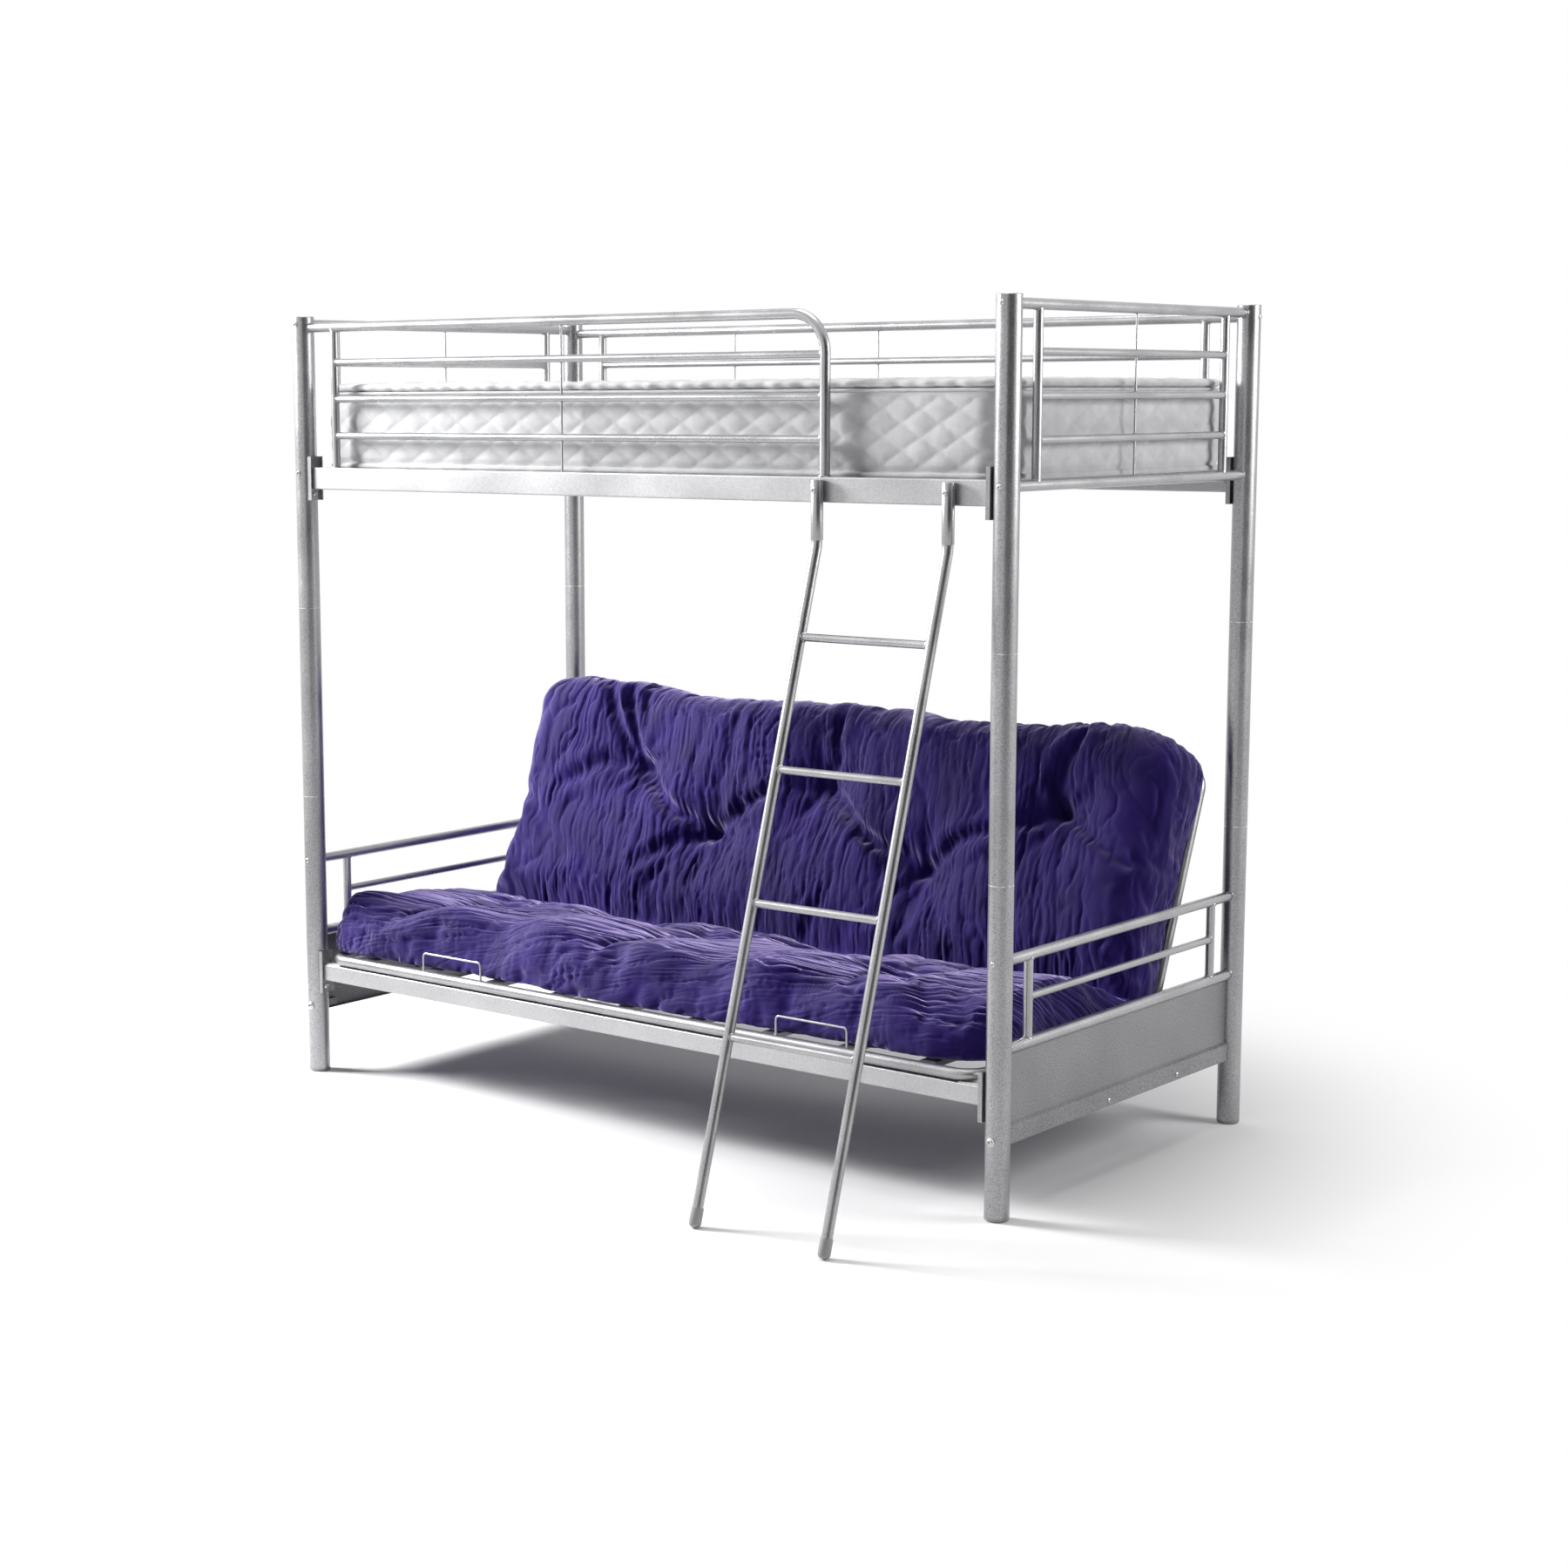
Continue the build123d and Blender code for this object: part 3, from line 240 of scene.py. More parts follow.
def powder_coat(name, pale, dark, grain_scale, metallic, roughness, cloud_scale=7.0):
    """Satin silver paint: fine metallic grain, soft clouds and a few polished rubs."""
    material, nodes, links, shader = surface(name)
    place = nodes.new("ShaderNodeTexCoord")
    grain = add_noise(nodes, grain_scale, 3.0, 0.7)
    cloud = add_noise(nodes, cloud_scale, 4.0)
    grain_tint = add_ramp(nodes, 0.36, dark, 0.64, pale)
    cloud_tint = add_ramp(nodes, 0.3, (0.8, 0.8, 0.805), 0.72, (1.0, 1.0, 1.0))
    tint = add_multiply(nodes)
    gloss = add_range(nodes, 0.3, 0.7, roughness - 0.05, roughness + 0.07)
    bump = add_bump(nodes, 0.16, 0.0006)
    for texture in (grain, cloud):
        links.new(place.outputs["Object"], texture.inputs["Vector"])
    join(links, (
        (grain, "Fac", grain_tint, "Fac"), (cloud, "Fac", cloud_tint, "Fac"),
        (grain_tint, "Color", tint, 6), (cloud_tint, "Color", tint, 7),
        (tint, 2, shader, "Base Color"), (cloud, "Fac", gloss, "Value"),
        (gloss, "Result", shader, "Roughness"), (grain, "Fac", bump, "Height"),
        (bump, "Normal", shader, "Normal"),
    ))
    shader.inputs["Metallic"].default_value = metallic
    return material


def paint(material, *names):
    """Give CAD nodes their finish."""
    for name in names:
        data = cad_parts[name].data
        data.materials.clear()
        data.materials.append(material)


def finish_piece(name, mesh, material, body, stands_for=(), sharp=math.radians(38)):
    """Turn a mesh under construction into a piece that rides on its body."""
    bmesh.ops.recalc_face_normals(mesh, faces=mesh.faces)
    data = bpy.data.meshes.new(name)
    mesh.to_mesh(data)
    mesh.free()
    data.polygons.foreach_set("use_smooth", [True] * len(data.polygons))
    data.set_sharp_from_angle(angle=sharp)
    data.materials.append(material)
    piece = bpy.data.objects.new(name, data)
    bpy.context.scene.collection.objects.link(piece)
    if body:
        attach(piece, body)
    if stands_for:
        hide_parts(*stands_for)
    return piece


def add_turned(mesh, base, axis, profile, sides=40):
    """Turn a profile of (radius, distance along the axis); ends at radius 0 close it."""
    axis = Vector(axis).normalized()
    across = axis.orthogonal().normalized()
    rings = []
    for radius, along in profile:
        centre = Vector(base) + axis * along
        if radius == 0:
            rings.append([mesh.verts.new(centre)])
            continue
        spokes = [Matrix.Rotation(2 * math.pi * k / sides, 3, axis) @ across for k in range(sides)]
        rings.append([mesh.verts.new(centre + spoke * radius) for spoke in spokes])
    for inner, outer in zip(rings, rings[1:]):
        for k in range(sides):
            nxt = (k + 1) % sides
            around = ((inner, k), (inner, nxt), (outer, nxt), (outer, k))
            mesh.faces.new(list(dict.fromkeys(ring[j % len(ring)] for ring, j in around)))


post_radius = 0.0254
half_length = 0.975
splice_heights = (0.675, 1.127)
cap_height = 1.8065
front_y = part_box("front_left_post_lower")[0].y + post_radius
back_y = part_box("back_left_post_lower")[1].y - post_radius
post_places = [(x, y) for x in (-half_length, half_length) for y in (front_y, back_y)]
post_coat = powder_coat(
    "satin_silver_posts", (0.53, 0.53, 0.54), (0.28, 0.28, 0.29), 420, 0.86, 0.31
)
paint(
    post_coat, "front_left_post_lower", "front_left_post_upper", "front_right_post_lower",
    "front_right_post_upper", "back_left_post_lower", "back_left_post_upper",
    "back_right_post_lower", "back_right_post_upper", "post_middles", "post_spigots",
)


# Bright edges at the splices: the cut ends of the tube lengths, rubbed clean of paint
# when the posts are put together.
def mottled(name, scale, ends, tints, bump, values):
    """Plain material that one noise mottles and roughens."""
    material, nodes, links, shader = surface(name)
    noise, depth = add_noise(nodes, scale), add_bump(nodes, *bump)
    ramp = add_ramp(nodes, ends[0], tints[0], ends[1], tints[1])
    join(links, (
        (noise, "Fac", ramp, "Fac"), (ramp, "Color", shader, "Base Color"),
        (noise, "Fac", depth, "Height"), (depth, "Normal", shader, "Normal"),
    ))
    set_inputs(shader, values)
    return material


def turn_on_posts(mesh, height, profile):
    """The same turned ring or plug on every post."""
    for post_x, post_y in post_places:
        add_turned(mesh, (post_x, post_y, height), (0, 0, 1), profile)


edge_half = 0.0014
bare_edge = mottled(
    "rubbed_steel_edge", 160, (0.42, 0.56), ((0.42, 0.42, 0.43), (0.88, 0.88, 0.88)),
    (0.3, 0.0005), {"Metallic": 0.9, "Roughness": 0.28},
)
splice_rings = bmesh.new()
for splice in splice_heights:
    turn_on_posts(splice_rings, splice - edge_half, (
        (0.0249, 0.0002), (0.0256, 0.0006), (0.0256, 0.0011), (0.0250, 0.0014),
        (0.0256, 0.0017), (0.0256, 0.0022), (0.0249, 0.0026),
    ))
finish_piece("post_splice_edges", splice_rings, bare_edge, "frame")

# Post caps and feet: pressed discs on top and moulded grey plugs below, both with a
# small rounded rim that stands flush with the tube.
cap_discs = bmesh.new()
turn_on_posts(cap_discs, cap_height, (
    (0, -0.004), (0.0236, -0.004), (0.0236, 0.0), (0.0257, 0.0), (0.0258, 0.0008),
    (0.0254, 0.0018), (0.0246, 0.0024), (0.0225, 0.00245), (0.0210, 0.0020), (0, 0.0020),
))
finish_piece("post_cap_discs", cap_discs, post_coat, "frame", ["post_caps"])

grey_plastic = mottled(
    "grey_moulded_plastic", 700, (0.0, 1.0), ((0.25, 0.25, 0.255), (0.40, 0.40, 0.405)),
    (0.2, 0.0004), {"Roughness": 0.5},
)
foot_plugs = bmesh.new()
turn_on_posts(foot_plugs, 0, (
    (0, 0), (0.0190, 0), (0.0222, 0.0006), (0.0243, 0.0022), (0.0252, 0.0048),
    (0.0254, 0.0078), (0.0236, 0.0082), (0.0236, 0.020), (0, 0.020),
))
finish_piece("post_foot_plugs", foot_plugs, grey_plastic, "frame", ["post_feet"])


# Upper end frames: two 22 mm tubes from post to post, two 19 mm uprights, three 16 mm
# rails and one thin wire, welded together before the coat and bolted through the posts.
def bent_path(corners, bend, step=math.radians(6)):
    """Centre line through the corners, each rounded with a true arc."""
    corners = [Vector(corner) for corner in corners]
    line = [corners[0]]
    for before, corner, after in zip(corners, corners[1:], corners[2:]):
        to_before = (before - corner).normalized()
        to_after = (after - corner).normalized()
        turn = math.pi - to_before.angle(to_after)
        start = corner + to_before * bend * math.tan(turn / 2)
        finish = corner + to_after * bend * math.tan(turn / 2)
        centre = corner + (to_before + to_after).normalized() * (bend / math.cos(turn / 2))
        axis = (start - centre).cross(finish - centre).normalized()
        count = max(3, round(turn / step))
        for k in range(count + 1):
            line.append(centre + Matrix.Rotation(turn * k / count, 3, axis) @ (start - centre))
    line.append(corners[-1])
    return line


def add_ring(mesh, centre, radius, across, beside, sides):
    """Ring of corners round a centre."""
    ring = []
    for j in range(sides):
        turn = 2 * math.pi * j / sides
        spoke = math.cos(turn) * across + math.sin(turn) * beside
        ring.append(mesh.verts.new(centre + radius * spoke))
    return ring


def add_band(mesh, near, far):
    """Band of faces between two rings."""
    for k in range(len(near)):
        nxt = (k + 1) % len(near)
        mesh.faces.new((near[k], near[nxt], far[nxt], far[k]))


def add_tube(mesh, line, radius, sides=28):
    """Round tube along a centre line, closed at both ends."""
    line = [Vector(point) for point in line]
    across = None
    rings = []
    for k, point in enumerate(line):
        along = (line[min(k + 1, len(line) - 1)] - line[max(k - 1, 0)]).normalized()
        if across is None:
            across = along.orthogonal().normalized()
        else:
            across = (across - along * across.dot(along)).normalized()
        rings.append(add_ring(mesh, point, radius, across, along.cross(across), sides))
    for near, far in zip(rings, rings[1:]):
        add_band(mesh, near, far)
    mesh.faces.new(rings[0])
    mesh.faces.new(rings[-1])


def add_weld(mesh, centre, run, run_radius, across, across_radius, bead=0.0015):
    """Rippled bead where a tube that leaves centre along run meets one along across."""
    run, across = Vector(run).normalized(), Vector(across).normalized()
    beside = run.cross(across)
    steps, sides = 40, 7
    loop = []
    for k in range(steps):
        turn = 2 * math.pi * k / steps
        u = (run_radius + 0.3 * bead) * math.cos(turn)
        v = (run_radius + 0.3 * bead) * math.sin(turn)
        lift = math.sqrt(max(across_radius ** 2 - v ** 2, 0)) + 0.3 * bead
        loop.append(Vector(centre) + across * u + beside * v + run * lift)
    rings = []
    for k, point in enumerate(loop):
        along = (loop[(k + 1) % steps] - loop[k - 1]).normalized()
        outward = along.cross(run).normalized()
        thick = bead * (1 + 0.16 * math.sin(k * 2.4) + 0.10 * math.sin(k * 1.1 + centre[2] * 90))
        rings.append(add_ring(mesh, point, thick, outward, along.cross(outward), sides))
    for k in range(steps):
        add_band(mesh, rings[k], rings[(k + 1) % steps])


tube_radius = 0.011
rail_radius = 0.008
upright_radius = 0.0095
wire_radius = 0.00225
upright_inset = 0.104
into_post = 0.0225
end_top, end_low = 1.792, 1.446
rail_heights = (1.702, 1.6175, 1.533)
wire_weld_radius, wire_sides = 0.0022, 12
fine_bead, upright_bead, hoop_bead = 0.0009, 0.0016, 0.0018
tube_coat = powder_coat(
    "satin_silver_tube", (0.56, 0.56, 0.57), (0.34, 0.34, 0.35), 520, 0.88, 0.29
)


def finish_tubes(name, mesh, stands_for, body="frame", coat=tube_coat):
    """Piece of welded tube in place of one CAD node."""
    finish_piece(name, mesh, coat, body, [stands_for])


def add_end(mesh, x, tubes, rails):
    """Tubes between two posts with uprights and rails welded between them."""
    front_upright, back_upright = front_y + upright_inset, back_y - upright_inset
    for z, radius in tubes:
        add_tube(mesh, [(x, front_y + into_post, z), (x, back_y - into_post, z)], radius)
        for y, way in ((front_y, 1), (back_y, -1)):
            add_weld(mesh, (x, y, z), (0, way, 0), radius, (0, 0, 1), post_radius, fine_bead)
    (top, top_radius), (bottom, bottom_radius) = tubes
    for y in (front_upright, back_upright):
        add_tube(mesh, [(x, y, bottom), (x, y, top)], upright_radius)
        add_weld(mesh, (x, y, bottom), (0, 0, 1), upright_radius, (0, 1, 0), bottom_radius)
        add_weld(mesh, (x, y, top), (0, 0, -1), upright_radius, (0, 1, 0), top_radius)
    for z in rails:
        add_tube(mesh, [(x, front_upright, z), (x, back_upright, z)], rail_radius)
        for y, way in ((front_upright, 1), (back_upright, -1)):
            add_weld(mesh, (x, y, z), (0, way, 0), rail_radius, (0, 0, 1), upright_radius)


middle_y = (front_y + back_y) / 2
for side, end_x in (("left", -half_length), ("right", half_length)):
    end_mesh = bmesh.new()
    add_end(end_mesh, end_x, ((end_top, tube_radius), (end_low, tube_radius)), rail_heights)
    wire = [(end_x, middle_y, end_low), (end_x, middle_y, end_top)]
    add_tube(end_mesh, wire, wire_radius, wire_sides)
    for z in (*rail_heights, end_low + 0.003, end_top - 0.003):
        spot, leaves = (end_x, middle_y, z), (0, 0, 1 if z < rail_heights[0] else -1)
        add_weld(end_mesh, spot, leaves, wire_weld_radius, (0, 1, 0), rail_radius, fine_bead)
    finish_tubes(f"upper_{side}_end_round_tubes", end_mesh, f"upper_{side}_end_frame")

# Guards: the front one is a single tube bent down on to the side rail beside the ladder,
# the back one runs from post to post. Both carry three rails and thin wires.
rail_top = 1.459
guard_height = 1.783
hoop_x = 0.544
hoop_bend = 0.078
guard_left = -half_length + upright_inset
guard_right = half_length - upright_inset
flat_top = 0.0005


def add_guard_upright(mesh, x, y):
    """Upright welded on the side rail and under the guard's top tube."""
    add_tube(mesh, [(x, y, rail_top), (x, y, guard_height)], upright_radius)
    add_weld(mesh, (x, y, rail_top), (0, 0, 1), upright_radius, (1, 0, 0), flat_top, upright_bead)
    add_weld(mesh, (x, y, guard_height), (0, 0, -1), upright_radius, (1, 0, 0), tube_radius)


def add_guard_rails(mesh, y, right, right_radius):
    """Three rails welded between the left upright and the tube at their right end."""
    for z in rail_heights:
        add_tube(mesh, [(guard_left, y, z), (right, y, z)], rail_radius)
        add_weld(mesh, (guard_left, y, z), (1, 0, 0), rail_radius, (0, 0, 1), upright_radius)
        add_weld(mesh, (right, y, z), (-1, 0, 0), rail_radius, (0, 0, 1), right_radius)


def add_guard_wire(mesh, x, y):
    """Thin wire from the side rail to the top tube, welded to the rails."""
    add_tube(mesh, [(x, y, rail_top), (x, y, guard_height)], wire_radius, wire_sides)
    for z in rail_heights:
        add_weld(mesh, (x, y, z), (0, 0, -1), wire_weld_radius, (1, 0, 0), rail_radius, fine_bead)


def add_post_weld(mesh, x, y, leaves):
    """Fine bead where a guard's top tube leaves a post."""
    add_weld(mesh, (x, y, guard_height), leaves, tube_radius, (0, 0, 1), post_radius, fine_bead)


front_guard = bmesh.new()
add_tube(front_guard, bent_path([
    (-half_length + into_post, front_y, guard_height),
    (hoop_x, front_y, guard_height), (hoop_x, front_y, rail_top),
], hoop_bend), tube_radius)
add_post_weld(front_guard, -half_length, front_y, (1, 0, 0))
hoop_foot = (hoop_x, front_y, rail_top)
add_weld(front_guard, hoop_foot, (0, 0, 1), tube_radius, (1, 0, 0), flat_top, hoop_bead)
add_guard_upright(front_guard, guard_left, front_y)
add_guard_rails(front_guard, front_y, hoop_x, tube_radius)
add_guard_wire(front_guard, (guard_left + hoop_x) / 2, front_y)
finish_tubes("front_guard_round_tubes", front_guard, "front_guard")

back_guard = bmesh.new()
back_tube_end = half_length - into_post
add_tube(back_guard, [
    (-back_tube_end, back_y, guard_height), (back_tube_end, back_y, guard_height)
], tube_radius)
for way in (-1, 1):
    add_post_weld(back_guard, way * half_length, back_y, (-way, 0, 0))
    add_guard_upright(back_guard, way * guard_right, back_y)
add_guard_rails(back_guard, back_y, guard_right, upright_radius)
for step in (-1, 0, 1):
    add_guard_wire(back_guard, step * (guard_right - guard_left) / 4, back_y)
finish_tubes("back_guard_round_tubes", back_guard, "back_guard")

# Side rails of rolled steel: a paler, flatter coat than the tubes, with broad clouds.
# Their pressed end channels and the pressed slats: a darker, flatter coat.
rail_coat = powder_coat(
    "satin_silver_rails", (0.60, 0.60, 0.61), (0.44, 0.44, 0.45), 480, 0.72, 0.38, 3.5
)
paint(rail_coat, "upper_front_rail", "upper_back_rail", "lower_front_rail", "lower_back_rail")
bracket_coat = powder_coat(
    "satin_silver_brackets", (0.46, 0.46, 0.47), (0.30, 0.30, 0.31), 480, 0.8, 0.36
)
paint(
    bracket_coat, "upper_rail_brackets", "lower_rail_brackets", "upper_slats", "seat_slats",
    "back_slats",
)

# Armrest ends: two tubes, two uprights and one rail, welded, with a pressed sheet panel
# below the sill tube. The sheet is plainly mottled and stepped outward at its foot.
arm_height, arm_rail_height = 0.520, 0.435
sill_height, sill_radius = 0.342, 0.0125
for side, end_x in (("left", -half_length), ("right", half_length)):
    arm_mesh = bmesh.new()
    arm_tubes = ((arm_height, tube_radius), (sill_height, sill_radius))
    add_end(arm_mesh, end_x, arm_tubes, (arm_rail_height,))
    finish_tubes(f"{side}_arm_round_tubes", arm_mesh, f"{side}_arm_frame")
sheet_coat = powder_coat(
    "satin_silver_sheet", (0.40, 0.40, 0.41), (0.20, 0.20, 0.205), 330, 0.7, 0.42, 6.0
)
paint(sheet_coat, "left_panel", "right_panel")

# Guide tracks and runner blocks: zinc-plated channel behind the panels, white nylon
# blocks in them, and nylon glide strips on the lower rails.
zinc = powder_coat("dull_zinc_plate", (0.58, 0.58, 0.57), (0.42, 0.42, 0.41), 300, 0.9, 0.42)
paint(zinc, "left_guide_track", "right_guide_track", "seat_legs")
nylon = mottled(
    "natural_nylon", 220, (0.0, 1.0), ((0.68, 0.68, 0.64), (0.82, 0.82, 0.79)),
    (0.15, 0.0005), {"Roughness": 0.45},
)
paint(nylon, "track_blocks", "seat_glides")

# Ladder: two 22 mm stiles bent below their wider top sleeves, four 16 mm rungs welded
# between them, and moulded caps with rounded ends on the floor.
ladder_y = front_y - post_radius
ladder_reach = 0.417
ladder_width = 0.315
stile_top, stile_bend, bend_radius = 1.445, 1.322, 0.070
sleeve_low, sleeve_radius, cap_grip = 1.333, 0.0125, 0.02
first_rung, rung_step = 0.365, 0.259
foot_height = 0.0126
foot_y = front_y - ladder_reach
lean = math.atan((ladder_reach - post_radius) / (stile_bend - foot_height))
down_stile = Vector((0, -math.sin(lean), -math.cos(lean)))
stile_xs = (hoop_x, hoop_x + ladder_width)
ladder_mesh = bmesh.new()
foot_caps = bmesh.new()
for x in stile_xs:
    foot = Vector((x, foot_y, foot_height))
    add_tube(ladder_mesh, bent_path([
        (x, ladder_y, stile_top), (x, ladder_y, stile_bend), foot - down_stile * cap_grip
    ], bend_radius), tube_radius)
    add_turned(ladder_mesh, (x, ladder_y, sleeve_low), (0, 0, 1), (
        (0, 0.108), (0.0113, 0.108), (0.0113, 0.1197), (0.0119, 0.120), (sleeve_radius, 0.1192),
        (sleeve_radius, 0.0012), (0.0122, 0.0003), (0.0112, 0.0), (0.0108, 0.004),
    ))
    add_turned(foot_caps, foot, down_stile, (
        (0.0112, -0.028), (0.0122, -0.0278), (0.0126, -0.0265), (0.0126, 0.0015), (0.0121, 0.0052),
        (0.0106, 0.0085), (0.0084, 0.0102), (0.0050, 0.0112), (0, 0.0115),
    ))
for step in range(4):
    z = first_rung + rung_step * step
    y = foot_y + (z - foot_height) * math.tan(lean)
    add_tube(ladder_mesh, [(stile_xs[0], y, z), (stile_xs[1], y, z)], rail_radius)
    for x, way in ((stile_xs[0], 1), (stile_xs[1], -1)):
        add_weld(ladder_mesh, (x, y, z), (way, 0, 0), rail_radius, -down_stile, tube_radius)
finish_tubes("ladder_round_tubes", ladder_mesh, "ladder_frame")
finish_piece("ladder_foot_caps", foot_caps, grey_plastic, "frame", ["ladder_feet"])


# Bolts: zinc-plated steel with bright domed heads and a hexagon socket. They hold the
# frames, brackets, ladder and tracks; those of the panels sit on washers.
def add_head(mesh, seat, outward, radius, height, washer=0.0):
    """One domed socket head, on a washer if it has one."""
    outward = Vector(outward).normalized()
    seat = Vector(seat)
    if washer:
        thick = 0.0014
        add_turned(mesh, seat, outward, (
            (washer, 0), (washer, 0.0011), (washer - 0.0004, thick), (radius * 0.5, thick)
        ), 32)
        seat = seat + outward * thick
    across = outward.orthogonal().normalized()
    sides, socket_wide = 24, 1.08
    rings = []
    for share, lift, six in (
        (1.0, 0.0, False), (1.0, 0.18, False), (0.93, 0.5, False), (0.78, 0.8, False),
        (0.6, 0.97, False), (0.46, 1.0, True), (0.42, 0.92, True), (0.42, 0.35, True),
    ):
        ring = []
        for k in range(sides):
            turn = 2 * math.pi * k / sides
            spread = radius * share
            if six:
                flat = math.cos(math.pi / 6) / math.cos(turn % (math.pi / 3) - math.pi / 6)
                spread = spread * flat * socket_wide
            spoke = Matrix.Rotation(turn, 3, outward) @ across
            ring.append(mesh.verts.new(seat + outward * height * lift + spoke * spread))
        rings.append(ring)
    for near, far in zip(rings, rings[1:]):
        add_band(mesh, near, far)
    mesh.faces.new(rings[-1])


bright_zinc = powder_coat(
    "bright_zinc_bolts", (0.74, 0.74, 0.74), (0.55, 0.55, 0.55), 900, 0.95, 0.24
)
frame_head = (0.0058, 0.0032)
bracket_head = (0.0068, 0.0040)
panel_head = (0.0070, 0.0040, 0.0095)
track_head = (0.0058, 0.0034)
rail_middles, bracket_bolt_drop = (1.4335, 0.2485), 0.036
bracket_gap, bracket_sheet = 0.0002, 0.0025
bracket_face = half_length - post_radius - bracket_gap - bracket_sheet
panel_bolt_height, ladder_bolt_height = 0.164, 1.433
track_bolt_height, track_bolt_places = 0.161, (0.411, 0.696)
heads = {held: bmesh.new() for held in ("frame", "panel", "bracket", "ladder", "track")}
for post_x, post_y in post_places:
    way_y = -1 if post_y == front_y else 1
    way_x = 1 if post_x > 0 else -1
    post_face = post_y + way_y * post_radius
    for z in (end_top, end_low, arm_height):
        add_head(heads["frame"], (post_x, post_face, z), (0, way_y, 0), *frame_head)
    if (way_x, way_y) != (1, -1):
        guard_seat = (post_x + way_x * post_radius, post_y, guard_height)
        add_head(heads["frame"], guard_seat, (way_x, 0, 0), *frame_head)
    add_head(heads["panel"], (post_x, post_face, panel_bolt_height), (0, way_y, 0), *panel_head)
    for middle in rail_middles:
        seat = (way_x * bracket_face, post_y, middle - bracket_bolt_drop)
        add_head(heads["bracket"], seat, (-way_x, 0, 0), *bracket_head)
for x in stile_xs:
    sleeve_face = (x, ladder_y - sleeve_radius, ladder_bolt_height)
    add_head(heads["ladder"], sleeve_face, (0, -1, 0), *frame_head)
track_seat = 0.00875
for way in (-1, 1):
    for place in track_bolt_places:
        seat = (way * (half_length + track_seat), front_y + place, track_bolt_height)
        add_head(heads["track"], seat, (way, 0, 0), *track_head)
for held, mesh in heads.items():
    finish_piece(f"{held}_bolt_heads", mesh, bright_zinc, "frame", [f"{held}_bolts"])

# Futon frame: a level seat and a leaning back, each of 25 mm tube bent round three sides
# and closed by a straight tube, hinged together on two riveted pairs of flat ears.
hinge_y = front_y + 0.690
hinge_z = 0.283
back_lean = math.radians(68)
futon_tube = 0.0125
half_width = 0.921
straight_out, bent_out = 0.040, 0.028
frame_bend = 0.050
ear_radius, ear_thick = 0.011, 0.004
hinge = Vector((0, hinge_y, hinge_z))
seat_out = Vector((0, -1, 0))
seat_up = Vector((0, 0, 1))
back_out = Vector((0, math.cos(back_lean), math.sin(back_lean)))
back_up = Vector((0, -math.sin(back_lean), math.cos(back_lean)))
across_bed = Vector((1, 0, 0))


def on_futon(x, out, up, along, lift=0.0):
    """A point of the seat or the back, along the bed and out from the hinge."""
    return hinge + across_bed * x + out * along + up * lift


def add_ear(mesh, x_low, out, up):
    """Flat ear with a round end, from the straight tube to the hinge."""
    outline = [on_futon(0, out, up, straight_out, 0.0055), on_futon(0, out, up, 0.0090, 0.0060)]
    for k in range(17):
        turn = math.radians(35 + k * 290 / 16)
        spoke = (ear_radius * math.cos(turn), ear_radius * math.sin(turn))
        outline.append(on_futon(0, out, up, *spoke))
    outline += [on_futon(0, out, up, 0.0090, -0.0060), on_futon(0, out, up, straight_out, -0.0055)]
    near = [mesh.verts.new(point + across_bed * x_low) for point in outline]
    far = [mesh.verts.new(point + across_bed * (x_low + ear_thick)) for point in outline]
    mesh.faces.new(near)
    mesh.faces.new(far)
    add_band(mesh, near, far)


futon_coat = powder_coat(
    "satin_silver_futon_tube", (0.50, 0.50, 0.51), (0.32, 0.32, 0.33), 480, 0.86, 0.31
)
for body, out, up, depth, ears in (
    ("seat", seat_out, seat_up, 0.694, (-0.70425, 0.69575)),
    ("back", back_out, back_up, 0.560, (-0.69975, 0.70025)),
):
    futon_mesh = bmesh.new()
    add_tube(futon_mesh, bent_path([
        on_futon(-half_width, out, up, bent_out), on_futon(-half_width, out, up, depth),
        on_futon(half_width, out, up, depth), on_futon(half_width, out, up, bent_out),
    ], frame_bend), futon_tube)
    straight = [on_futon(way * half_width, out, up, straight_out) for way in (-1, 1)]
    add_tube(futon_mesh, straight, futon_tube)
    add_weld(futon_mesh, straight[0], (1, 0, 0), futon_tube, out, futon_tube)
    add_weld(futon_mesh, straight[1], (-1, 0, 0), futon_tube, out, futon_tube)
    for x_low in ears:
        add_ear(futon_mesh, x_low, out, up)
    finish_tubes(f"{body}_frame_round_tubes", futon_mesh, f"{body}_frame", body, futon_coat)
paint(bright_zinc, "hinge_rivets")

# Mattress stops: two loops of 5 mm steel wire, bent and welded on the seat's front tube,
# that keep the futon mattress from sliding off.
stop_xs = (-0.518, 0.518)
stop_half, stop_top, stop_bend = 0.0915, 0.3365, 0.009
stop_radius, stop_sides, stop_bead = 0.0025, 14, 0.0011
stop_low = hinge_z + futon_tube - 0.002
front_tube_y = front_y - 0.004
stop_wire = bmesh.new()
for x in stop_xs:
    add_tube(stop_wire, bent_path([
        (x - stop_half, front_tube_y, stop_low), (x - stop_half, front_tube_y, stop_top),
        (x + stop_half, front_tube_y, stop_top), (x + stop_half, front_tube_y, stop_low),
    ], stop_bend), stop_radius, stop_sides)
    for foot_x in (x - stop_half, x + stop_half):
        foot = (foot_x, front_tube_y, hinge_z)
        add_weld(stop_wire, foot, (0, 0, 1), stop_radius, (1, 0, 0), futon_tube, stop_bead)
finish_tubes("mattress_stop_wires", stop_wire, "mattress_stops", "seat")

